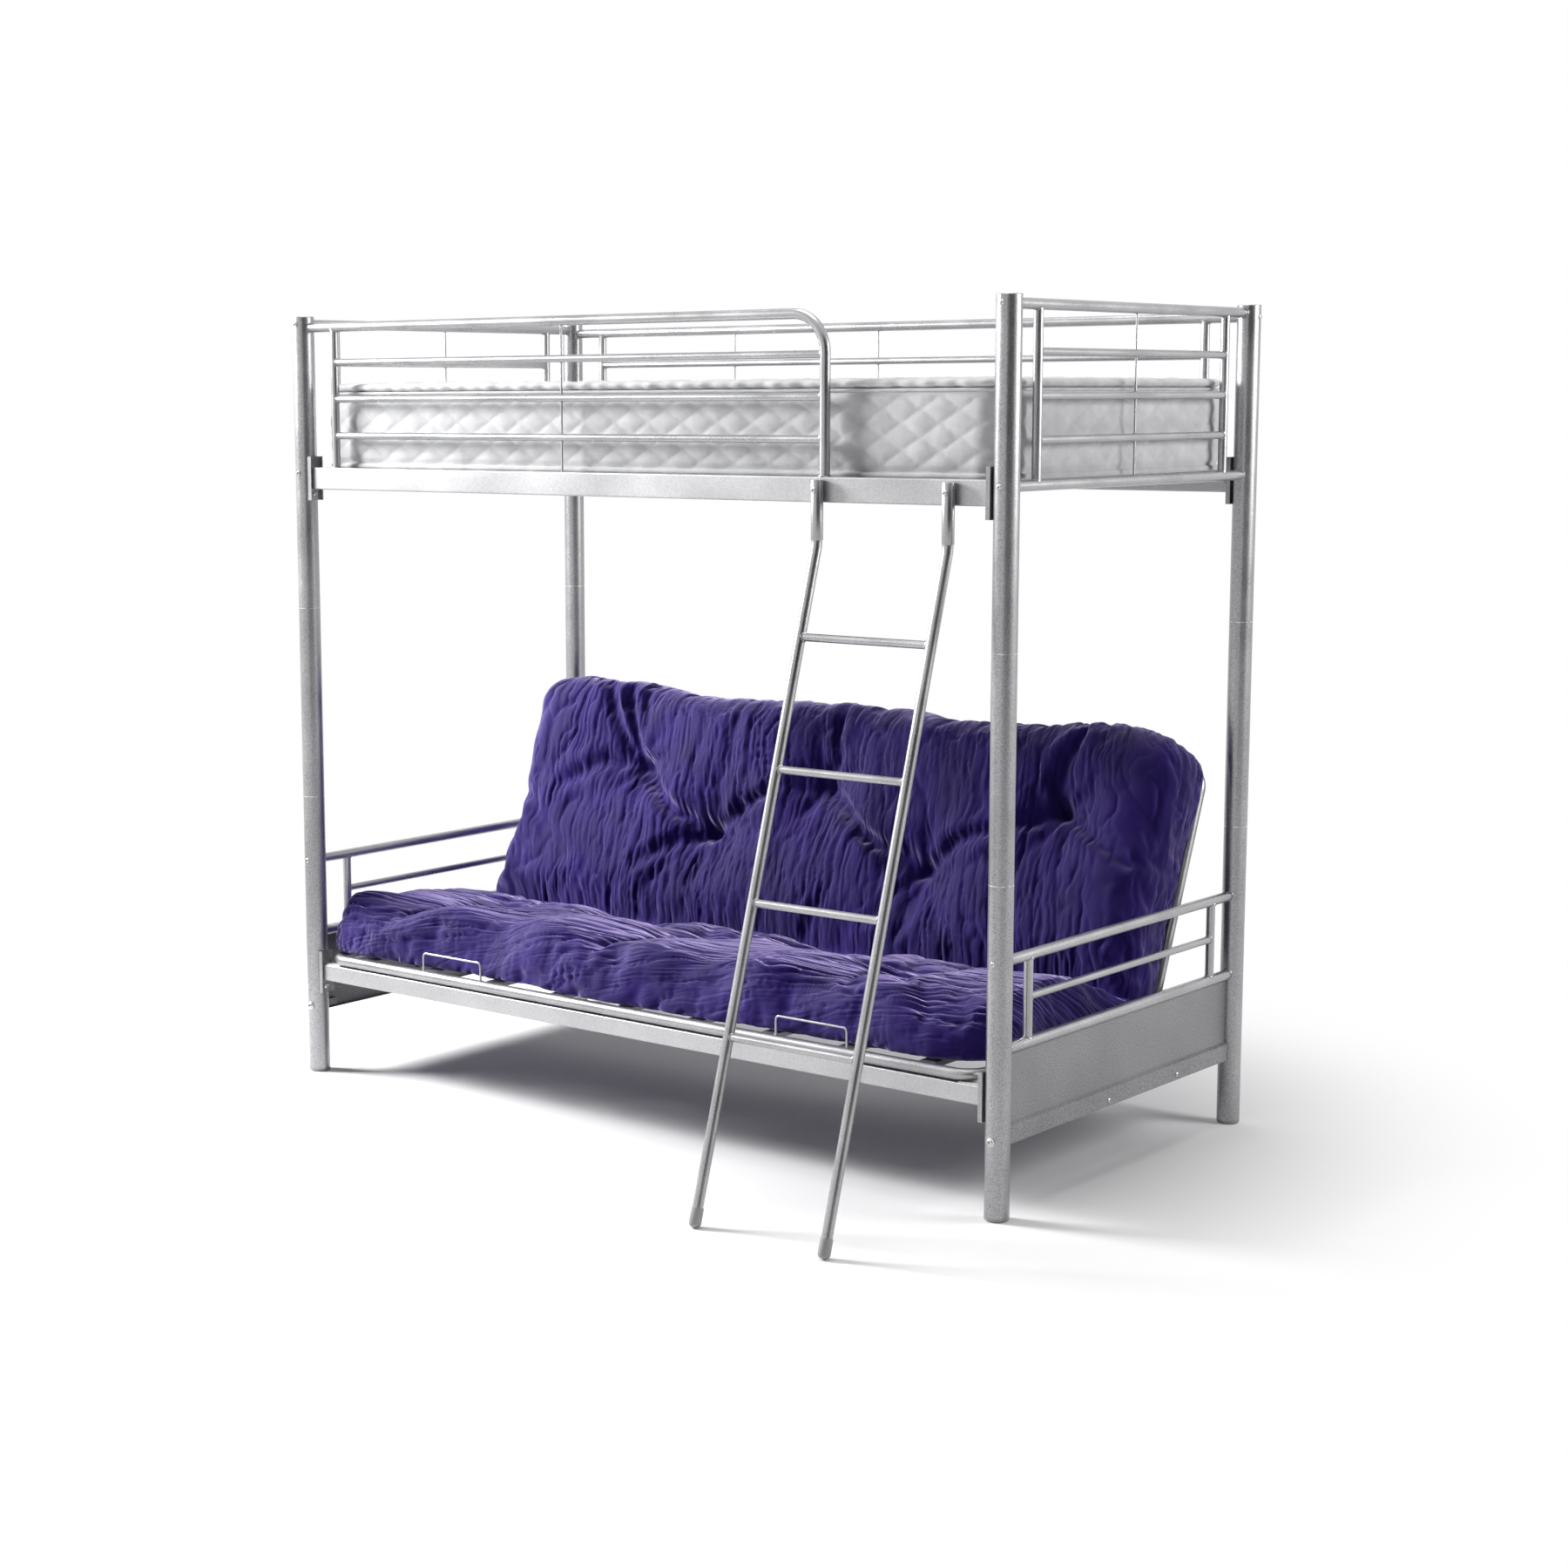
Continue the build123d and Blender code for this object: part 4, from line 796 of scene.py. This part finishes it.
# Upper mattress: a sprung mattress in pale knitted ticking. Its wall is quilted in
# diamonds below a puffed border, and bound with tape at the bottom edge and the seam.
ticking, nodes, links, shader = surface("pale_knitted_ticking")
place = nodes.new("ShaderNodeTexCoord")
knit = nodes.new("ShaderNodeTexVoronoi")
knit.inputs["Scale"].default_value = 620
loft = add_noise(nodes, 26, 5)
fibre = add_noise(nodes, 900)
knit_tint = add_ramp(nodes, 0.3, (0.65, 0.65, 0.665), 0.7, (0.78, 0.78, 0.79))
fibre_tint = add_multiply(nodes, 0.22)
knit_bump = add_bump(nodes, 0.35, 0.0009)
loft_bump = add_bump(nodes, 0.4, 0.004)
for texture in (knit, loft, fibre):
    links.new(place.outputs["Object"], texture.inputs["Vector"])
join(links, (
    (loft, "Fac", knit_tint, "Fac"), (knit_tint, "Color", fibre_tint, 6),
    (fibre, "Color", fibre_tint, 7), (fibre_tint, 2, shader, "Base Color"),
    (loft, "Fac", loft_bump, "Height"), (knit, "Distance", knit_bump, "Height"),
    (loft_bump, "Normal", knit_bump, "Normal"), (knit_bump, "Normal", shader, "Normal"),
))
set_inputs(shader, {"Roughness": 0.92, "Specular IOR Level": 0.2, "Sheen Weight": 0.12})

mattress_low = 1.4553
mattress_half = (0.950, 0.449)
mattress_corner = 0.065
diamond_wide, diamond_high = 0.093, 0.055
quilt_low, quilt_rise, quilt_high = 0.0145, 0.1575, 0.1721
top_quilt = 0.115
border_low, border_inset, border_top = 0.1780, 0.0165, 0.1972
rise_steps, top_steps = 40, 70
outline_points, corner_steps = 1120, 12


def rounded_outline(half_x, half_y, corner, count):
    """Points, outward directions and run lengths round a rectangle with rounded corners."""
    corner = min(corner, half_x, half_y)
    places, outwards, runs = [], [], []
    straight = (2 * (half_y - corner), 2 * (half_x - corner)) * 2
    run = 0.0
    for side in range(4):
        turn = side * math.pi / 2
        out = np.array((math.cos(turn), math.sin(turn)))
        along = np.array((-math.sin(turn), math.cos(turn)))
        reach = (half_x if side % 2 == 0 else half_y)
        steps = round(count // 4 * (0.7 if side % 2 == 0 else 1.3))
        begin = out * reach - along * straight[side] / 2
        for k in range(steps):
            places.append(begin + along * straight[side] * k / steps)
            outwards.append(out)
            runs.append(run + straight[side] * k / steps)
        run += straight[side]
        hub = out * (reach - corner) + along * straight[side] / 2
        for k in range(corner_steps):
            bend = turn + math.pi / 2 * k / corner_steps
            outwards.append(np.array((math.cos(bend), math.sin(bend))))
            places.append(hub + corner * outwards[-1])
            runs.append(run + mattress_corner * math.pi / 2 * k / corner_steps)
        run += mattress_corner * math.pi / 2
    return np.array(places), np.array(outwards), np.array(runs)


def swell(height, half_height, inset, depth, begin, sweep, steps):
    """Part of the wall's profile, (height, inset), that swells out between two seams."""
    turns = [math.radians(begin + sweep * k / steps) for k in range(steps + 1)]
    return [(height + half_height * math.sin(a), inset - depth * math.cos(a)) for a in turns]


wall = [(0.0, 0.4488), (0.0, 0.30), (0.0, 0.10), (0.0, 0.030), (0.0005, 0.012), (0.002, 0.004)]
wall += swell(0.0075, 0.0058, 0.0022, 0.0052, -80, 160, 8)
for k in range(rise_steps + 1):
    rise = k / rise_steps
    wall.append((quilt_low + quilt_rise * rise, 0.0025 - 0.0035 * math.sin(math.pi * rise)))
wall += swell(0.1752, 0.0030, 0.0012, 0.0028, -80, 160, 6)
wall += swell(0.1876, 0.0096, border_inset, 0.0180, -78, 168, 16)
for k in range(1, top_steps + 1):
    crown = 0.0025 * math.sin(math.pi / 2 * k / top_steps)
    wall.append((border_top + crown, border_inset + 0.4323 * k / top_steps))
rings = []
wall_runs = rounded_outline(*mattress_half, mattress_corner, outline_points)[2]
for height, inset in wall:
    corner = max(mattress_corner - inset, 0.0002)
    places, outwards, _ = rounded_outline(
        mattress_half[0] - inset, mattress_half[1] - inset, corner, outline_points
    )
    ring = np.column_stack((places, np.full(len(places), height)))
    if quilt_low <= height <= quilt_high and inset < 0.01:
        edge = min(height - quilt_low, quilt_high - height) / 0.012
        across, rise = wall_runs / diamond_wide, height / diamond_high
        up, down = across + rise, across - rise
        puff = np.abs(np.sin(math.pi * up) * np.sin(math.pi * down))
        ring[:, :2] += outwards * (0.0042 * puff ** 0.42 * min(edge, 1) - 0.0016)[:, None]
    elif border_low < height and inset < 0.02:
        wave = 0.0016 * np.sin(wall_runs * 2 * math.pi / 0.119)
        wave += 0.0012 * np.sin(wall_runs * 2 * math.pi / 0.047 + 1.3)
        ring[:, :2] += outwards * (wave - 0.0008)[:, None]
    elif inset > 0.03 and height > 0.18:
        up, down = (ring[:, 0] + ring[:, 1]) / top_quilt, (ring[:, 0] - ring[:, 1]) / top_quilt
        puff = np.abs(np.sin(math.pi * up) * np.sin(math.pi * down))
        ring[:, 2] += (0.0070 * puff ** 0.8 - 0.0045) * min((inset - 0.03) / 0.03, 1)
    rings.append(ring + np.array((0, middle_y, mattress_low)))
mattress_mesh = bmesh.new()
rows = [[mattress_mesh.verts.new(point) for point in ring] for ring in rings]
for near, far in zip(rows, rows[1:]):
    add_band(mattress_mesh, near, far)
mattress_mesh.faces.new(rows[0])
mattress_mesh.faces.new(rows[-1])
mattress = finish_piece(
    "quilted_upper_mattress", mattress_mesh, ticking, "frame",
    ["upper_mattress"], math.radians(80),
)

# Futon mattress: one long cotton-filled bag, folded at the hinge to make the seat and
# the back. Buttons pull it in through its thickness and the loose cover falls in folds.
violet_cloth, nodes, links, shader = surface("violet_cotton_twill")
place = nodes.new("ShaderNodeTexCoord")
dye = add_noise(nodes, 9, 6)
dye_tint = add_ramp(nodes, 0.3, (0.008, 0.002, 0.080), 0.72, (0.024, 0.008, 0.150))
thread = add_noise(nodes, 1100)
thread_tint = add_multiply(nodes, 0.3)
cloth_lay = nodes.new("ShaderNodeUVMap")
cloth_lay.uv_map = "cloth_lay"
wander = add_noise(nodes, 5, 3)
wander_turn = nodes.new("ShaderNodeVectorMath")
wander_turn.operation = "MULTIPLY_ADD"
wander_turn.inputs[1].default_value = (0.05, 0.05, 0.0)
crush_stretch = nodes.new("ShaderNodeMapping")
crush_stretch.inputs["Scale"].default_value = (74, 10, 1)
crush = add_noise(nodes, 1, 2.0, 0.55)
crush.noise_type = "RIDGED_MULTIFRACTAL"
crush.inputs["Lacunarity"].default_value = 2.1
# Painted shade: the deep parts of the crinkle pattern darken the dye, down to about a fifth in the
# valleys, as shade that falls in the creases.
painted_crease_shade = add_range(nodes, 0.45, 1.10, 1.0, 0.22)
dye_with_crease_shade = add_multiply(nodes)
crush_bump = add_bump(nodes, 1.0, 0.0052)
crush_bump.invert = True
thread_bump = add_bump(nodes, 0.25, 0.0006)
for texture in (dye, thread):
    links.new(place.outputs["Object"], texture.inputs["Vector"])
join(links, (
    (cloth_lay, "UV", wander, "Vector"), (wander, "Color", wander_turn, 0),
    (cloth_lay, "UV", wander_turn, 2), (wander_turn, "Vector", crush_stretch, "Vector"),
    (crush_stretch, "Vector", crush, "Vector"), (dye, "Fac", dye_tint, "Fac"),
    (dye_tint, "Color", thread_tint, 6), (thread, "Color", thread_tint, 7),
    (crush, "Fac", painted_crease_shade, "Value"), (thread_tint, 2, dye_with_crease_shade, 6),
    (painted_crease_shade, "Result", dye_with_crease_shade, 7), (dye_with_crease_shade, 2, shader, "Base Color"),
    (crush, "Fac", crush_bump, "Height"), (thread, "Fac", thread_bump, "Height"),
    (crush_bump, "Normal", thread_bump, "Normal"), (thread_bump, "Normal", shader, "Normal"),
))
set_inputs(shader, {
    "Roughness": 0.62, "Specular IOR Level": 0.08, "Sheen Weight": 1.0, "Sheen Roughness": 0.42,
    "Sheen Tint": (0.68, 0.58, 1.0, 1),
})

pad_base = 0.0129
pad_half, pad_end = 0.947, 0.945
back_reach = (
    (-0.945, 0.570), (-0.925, 0.598), (-0.88, 0.622), (-0.80, 0.634), (-0.70, 0.626),
    (-0.60, 0.630), (-0.45, 0.620), (-0.30, 0.622), (-0.12, 0.629), (0.0, 0.623), (0.20, 0.629),
    (0.32, 0.619), (0.45, 0.622), (0.58, 0.616), (0.70, 0.625), (0.80, 0.618), (0.88, 0.600),
    (0.925, 0.570), (0.945, 0.535),
)
seat_reach = (
    (-0.945, 0.668), (-0.90, 0.686), (-0.80, 0.692), (-0.66, 0.690), (-0.60, 0.683),
    (-0.43, 0.683), (-0.36, 0.694), (-0.25, 0.702), (-0.10, 0.705), (0.05, 0.701), (0.18, 0.704),
    (0.34, 0.698), (0.43, 0.684), (0.61, 0.683), (0.70, 0.690), (0.80, 0.684), (0.87, 0.662),
    (0.945, 0.600),
)
tuft_radius = 0.020
tufts = (
    (-0.539, "back", 0.412), (0.024, "back", 0.403), (0.671, "back", 0.401),
    (-0.275, "back", 0.255), (0.346, "back", 0.228), (-0.65, "seat", 0.400),
    (-0.05, "seat", 0.400), (0.55, "seat", 0.400), (-0.35, "seat", 0.245), (0.25, "seat", 0.245),
)
folds = (
    ((-0.700, 0.600), (-0.640, 0.505), (-0.575, 0.430), 0.020, 0.020),
    ((-0.628, 0.590), (-0.590, 0.500), (-0.548, 0.430), 0.022, 0.018),
    ((-0.527, 0.399), (-0.415, 0.308), (-0.288, 0.262), 0.022, 0.026),
    ((-0.545, 0.409), (-0.646, 0.405), (-0.753, 0.333), 0.013, 0.024),
    ((-0.285, 0.255), (-0.385, 0.212), (-0.453, 0.159), 0.016, 0.020),
    ((-0.262, 0.268), (-0.199, 0.317), (-0.099, 0.381), 0.015, 0.022),
    ((0.045, 0.390), (0.200, 0.290), (0.334, 0.234), 0.020, 0.024),
    ((0.357, 0.236), (0.390, 0.262), (0.425, 0.300), 0.014, 0.018),
    ((0.430, 0.300), (0.560, 0.350), (0.660, 0.398), 0.013, 0.024),
    ((0.690, 0.400), (0.790, 0.340), (0.880, 0.300), 0.013, 0.024),
    ((0.024, 0.415), (0.044, 0.480), (0.034, 0.580), 0.012, 0.020),
    ((0.671, 0.412), (0.664, 0.480), (0.690, 0.580), 0.012, 0.020),
    ((-0.275, 0.268), (-0.262, 0.400), (-0.250, 0.540), 0.008, 0.022),
    ((-0.880, 0.300), (-0.800, 0.230), (-0.690, 0.150), 0.009, 0.026),
)


def lattice_noise(u, v, seed):
    """Smooth random values from 0 to 1, the same on each run."""
    grid = np.random.RandomState(seed).rand(256, 256)
    u0, v0 = np.floor(u).astype(int), np.floor(v).astype(int)
    fu, fv = u - u0, v - v0
    fu, fv = fu * fu * (3 - 2 * fu), fv * fv * (3 - 2 * fv)
    near = grid[u0 % 256, v0 % 256] * (1 - fu) + grid[(u0 + 1) % 256, v0 % 256] * fu
    far = grid[u0 % 256, (v0 + 1) % 256] * (1 - fu) + grid[(u0 + 1) % 256, (v0 + 1) % 256] * fu
    return near * (1 - fv) + far * fv


def near_fold(x, s, fold):
    """Distance from the line of a fold."""
    best = np.full(x.shape, 1.0)
    for begin, stop in zip(fold[:2], fold[1:3]):
        dx, ds = stop[0] - begin[0], stop[1] - begin[1]
        share = np.clip(((x - begin[0]) * dx + (s - begin[1]) * ds) / (dx * dx + ds * ds), 0, 1)
        best = np.minimum(best, np.hypot(x - begin[0] - share * dx, s - begin[1] - share * ds))
    return best


def cloth_lift(x, run, part):
    """How far the cover stands above or below its plain surface, in metres."""
    lift = 0.010 * (lattice_noise(x / 0.17 + 40, run / 0.14 + 40, 5) - 0.5)
    nearest = np.full(x.shape, 9.0)
    for tuft_x, where, tuft_run in tufts:
        if where != part:
            continue
        dx, ds = x - tuft_x, run - tuft_run
        reach = np.hypot(dx, ds)
        turn = np.arctan2(ds, dx)
        nearest = np.minimum(nearest, reach)
        pleat = 0.0050 * np.exp(-(((reach - 0.052) / 0.036) ** 2)) * np.cos(8 * turn + tuft_x * 9)
        pinch = 0.040 * np.exp(-((reach / tuft_radius) ** 1.5))
        lift += pleat - pinch - 0.026 * np.exp(-((reach / 0.090) ** 2))
    lift += 0.014 * (1 - np.exp(-((nearest / 0.16) ** 2)))
    if part == "back":
        for fold in folds:
            gap = near_fold(x, run, fold)
            depth, width = fold[3:]
            valley = -depth * np.exp(-((gap / (0.55 * width)) ** 2))
            lift += valley + 0.45 * depth * np.exp(-(((gap - 1.5 * width) / width) ** 2))
    else:
        lift += 0.012 * np.sin(x * 2 * math.pi / 0.31 + 0.8) * np.clip((run - 0.38) / 0.2, 0, 1)
        lift += 0.016 * np.exp(-(((x + 0.885) / 0.045) ** 2 + ((run - 0.610) / 0.05) ** 2))
    return lift


def rounded_in(gap, radius):
    """Share of the full thickness at a distance inside the outline."""
    return np.sqrt(np.clip(1 - (1 - np.clip(gap / radius, 0, 1)) ** 2, 0, 1))


columns, rows_each = 137, 37
hinge_row = rows_each - 1
under_start, top_start, back_start = 0.0087, 0.1346, 0.007
seat_thick, seat_swell, back_thick = 0.062, 0.050, 0.145
end_round, far_round, end_round_under = 0.058, 0.066, 0.020
spread = np.linspace(-1, 1, columns)
spread = 0.5 * spread + 0.5 * np.sin(spread * math.pi / 2)
row_count = 2 * rows_each - 1
top_side = np.zeros((row_count, columns, 3))
under_side = np.zeros_like(top_side)
for k in range(row_count):
    part = "seat" if k < hinge_row else "back"
    share = abs(k - hinge_row) / hinge_row
    share = 0.6 * share + 0.4 * math.sin(share * math.pi / 2)
    out, up = (seat_out, seat_up) if part == "seat" else (back_out, back_up)
    reach = np.interp(pad_end * spread, *zip(*(seat_reach if part == "seat" else back_reach)))
    under_along = under_start + (reach - under_start) * share
    if part == "seat":
        top_along = top_start + (reach - top_start) * share
        rising = np.clip((top_along - top_start) / 0.38, 0, 1)
        top_lift = seat_thick + seat_swell * np.sin(rising * math.pi / 2)
        seam = 0.30 - 0.16 * share ** 6
    else:
        top_along = back_start + (reach - back_start) * share
        top_lift = np.full(columns, back_thick)
        past_tube = min(max((share - 0.2) / 0.2, 0), 1)
        seam = 0.5 - 0.33 * past_tube * np.clip((np.abs(spread) - 0.93) / 0.07, 0, 1)[:, None]
    x = (pad_half - 0.012 * math.sin(share * math.pi) ** 2) * spread
    line = np.array(hinge) + np.outer(x, across_bed)
    top = line + np.outer(top_along, out) + np.outer(top_lift, up)
    under = line + np.outer(under_along, out) + np.outer(np.full(columns, pad_base), up)
    middle = under + seam * (top - under)
    end_gap = (1 - np.abs(spread)) * pad_end
    far_gap = reach - top_along
    full_top = rounded_in(end_gap, end_round) * rounded_in(far_gap, far_round)
    far_round_under = 0.012 if part == "seat" else 0.045
    full_under = rounded_in(end_gap, end_round_under) * rounded_in(far_gap, far_round_under)
    lift = cloth_lift(x, top_along, part) * np.clip(np.minimum(end_gap, far_gap) / 0.04, 0, 1)
    lift *= min(abs(k - hinge_row) / 3, 1)
    top_side[k] = middle + (top - middle) * full_top[:, None] + np.outer(lift, up)
    under_side[k] = middle - (middle - under) * full_under[:, None]
cover_mesh = bmesh.new()
top_rows = [[cover_mesh.verts.new(point) for point in row] for row in top_side]
last = row_count - 1
under_rows = [[
    top_rows[k][j] if k in (0, last) or j in (0, columns - 1) else cover_mesh.verts.new(point)
    for j, point in enumerate(row)
] for k, row in enumerate(under_side)]
for side_rows in (top_rows, under_rows):
    for k in range(last):
        for j in range(columns - 1):
            near, far = side_rows[k], side_rows[k + 1]
            cover_mesh.faces.new((near[j], far[j], far[j + 1], near[j + 1]))
futon = finish_piece(
    "futon_mattress_cover", cover_mesh, violet_cloth, None,
    ["seat_pad", "back_pad"], math.radians(120),
)

# The lay of the cloth: across and along the crinkles, which run up the back and along
# the seat. It rides through the subdivisions below and steers the crinkles.
cloth_lay_map = futon.data.uv_layers.new(name="cloth_lay")
for number, face in enumerate(futon.data.polygons):
    row = number % (last * (columns - 1)) // (columns - 1)
    for corner in face.loop_indices:
        place = futon.data.vertices[futon.data.loops[corner].vertex_index].co - hinge
        if row < hinge_row:
            lay = (0.30 * place.x - place.y - place.z, place.x - 0.4 * place.y)
        else:
            run, rise = place.dot(back_out), place.dot(back_up)
            lay = (place.x + 0.10 * run - (place.x / 0.95) ** 9 * rise, run - 0.3 * rise)
        cloth_lay_map.data[corner].uv = lay


def read_values(items, name, width=1, kind=float):
    """One value of all vertices or corners, as rows of an array."""
    values = np.zeros(len(items) * width, dtype=kind)
    items.foreach_get(name, values)
    return values.reshape(-1, width)


def apply_modifier(piece, name):
    """Make a modifier's result the piece's own mesh."""
    for other in bpy.context.selected_objects:
        other.select_set(False)
    piece.select_set(True)
    bpy.context.view_layer.objects.active = piece
    bpy.ops.object.modifier_apply(modifier=name)


held = futon.vertex_groups.new(name="held")
for k in range(row_count):
    for j in range(columns):
        part, out = ("seat", seat_out) if k < hinge_row else ("back", back_out)
        run = (Vector(top_side[k, j]) - hinge).dot(out)
        nearest = min(
            math.hypot(top_side[k, j, 0] - tuft_x, run - tuft_run) if where == part else 9.0
            for tuft_x, where, tuft_run in tufts
        )
        if nearest < tuft_radius or abs(k - hinge_row) < 2:
            held.add([k * columns + j], 1.0, "REPLACE")
held.add(list(range(row_count * columns, len(futon.data.vertices))), 1.0, "REPLACE")
before = read_values(futon.data.vertices, "co", 3)
cloth = futon.modifiers.new("stuffed_cover", "CLOTH")
stuffing = cloth.settings
stuffing.quality = 6
stuffing.mass = 0.3
stuffing.tension_stiffness = stuffing.compression_stiffness = 18
stuffing.shear_stiffness = 6
stuffing.bending_stiffness = 0.12
stuffing.use_pressure = True
stuffing.uniform_pressure_force = 3.0
stuffing.shrink_min = -0.035
stuffing.vertex_group_mass = "held"
stuffing.effector_weights.gravity = 0
last_step = 20
cloth.point_cache.frame_start = 1
cloth.point_cache.frame_end = last_step
for step in range(1, last_step + 1):
    bpy.context.scene.frame_set(step)
apply_modifier(futon, "stuffed_cover")
moved = read_values(futon.data.vertices, "co", 3) - before
length = np.linalg.norm(moved, axis=1, keepdims=True)
most_swell = 0.020
moved *= np.minimum(1, most_swell / np.maximum(length, 1e-9))
settled = before + moved
settled[:, 0] = np.clip(settled[:, 0], -pad_half, pad_half)
wire_back, wire_reach, wire_over = front_y + 0.0015, 0.115, 0.350
for stop_x in stop_xs:
    behind_wire = (np.abs(settled[:, 0] - stop_x) < wire_reach) & (settled[:, 2] < wire_over)
    kept_back = np.maximum(settled[:, 1], wire_back)
    settled[:, 1] = np.where(behind_wire, kept_back, settled[:, 1])
futon.data.vertices.foreach_set("co", settled.ravel())
bpy.context.scene.frame_set(1)
softened = futon.modifiers.new("softened", "SUBSURF")
softened.levels = softened.render_levels = 2
apply_modifier(futon, "softened")

# Crinkles: sharp creases pressed into the cotton cover when it was washed and left to
# dry twisted. Three sizes of ridge run along the lay of the cloth.
places = read_values(futon.data.vertices, "co", 3)
normals = read_values(futon.data.vertices, "normal", 3)
corner_of = read_values(futon.data.loops, "vertex_index", 1, int).ravel()
lay = read_values(futon.data.uv_layers["cloth_lay"].data, "uv", 2)
across, along = np.zeros(len(places)), np.zeros(len(places))
across[corner_of], along[corner_of] = lay[:, 0], lay[:, 1]
across += 0.034 * (lattice_noise(across / 0.10 + 9, along / 0.09 + 9, 11) - 0.5)
across += 0.008 * (lattice_noise(across / 0.03 + 9, along / 0.028 + 9, 12) - 0.5)
crinkle = np.zeros(len(places))
for unit, length, depth, seed in (
    (0.021, 0.14, 0.0082, 21), (0.013, 0.090, 0.0056, 22), (0.0085, 0.050, 0.0022, 23),
):
    ridge = 1 - np.abs(2 * lattice_noise(across / unit + 200, along / length + 200, seed) - 1)
    presence = 0.15 + 0.95 * lattice_noise(across / 0.10 + 60, along / 0.12 + 60, seed + 40)
    crinkle -= depth * presence * ridge ** 5
futon.data.vertices.foreach_set("co", (places + normals * crinkle[:, None]).ravel())
futon.data.update()
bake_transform(futon)
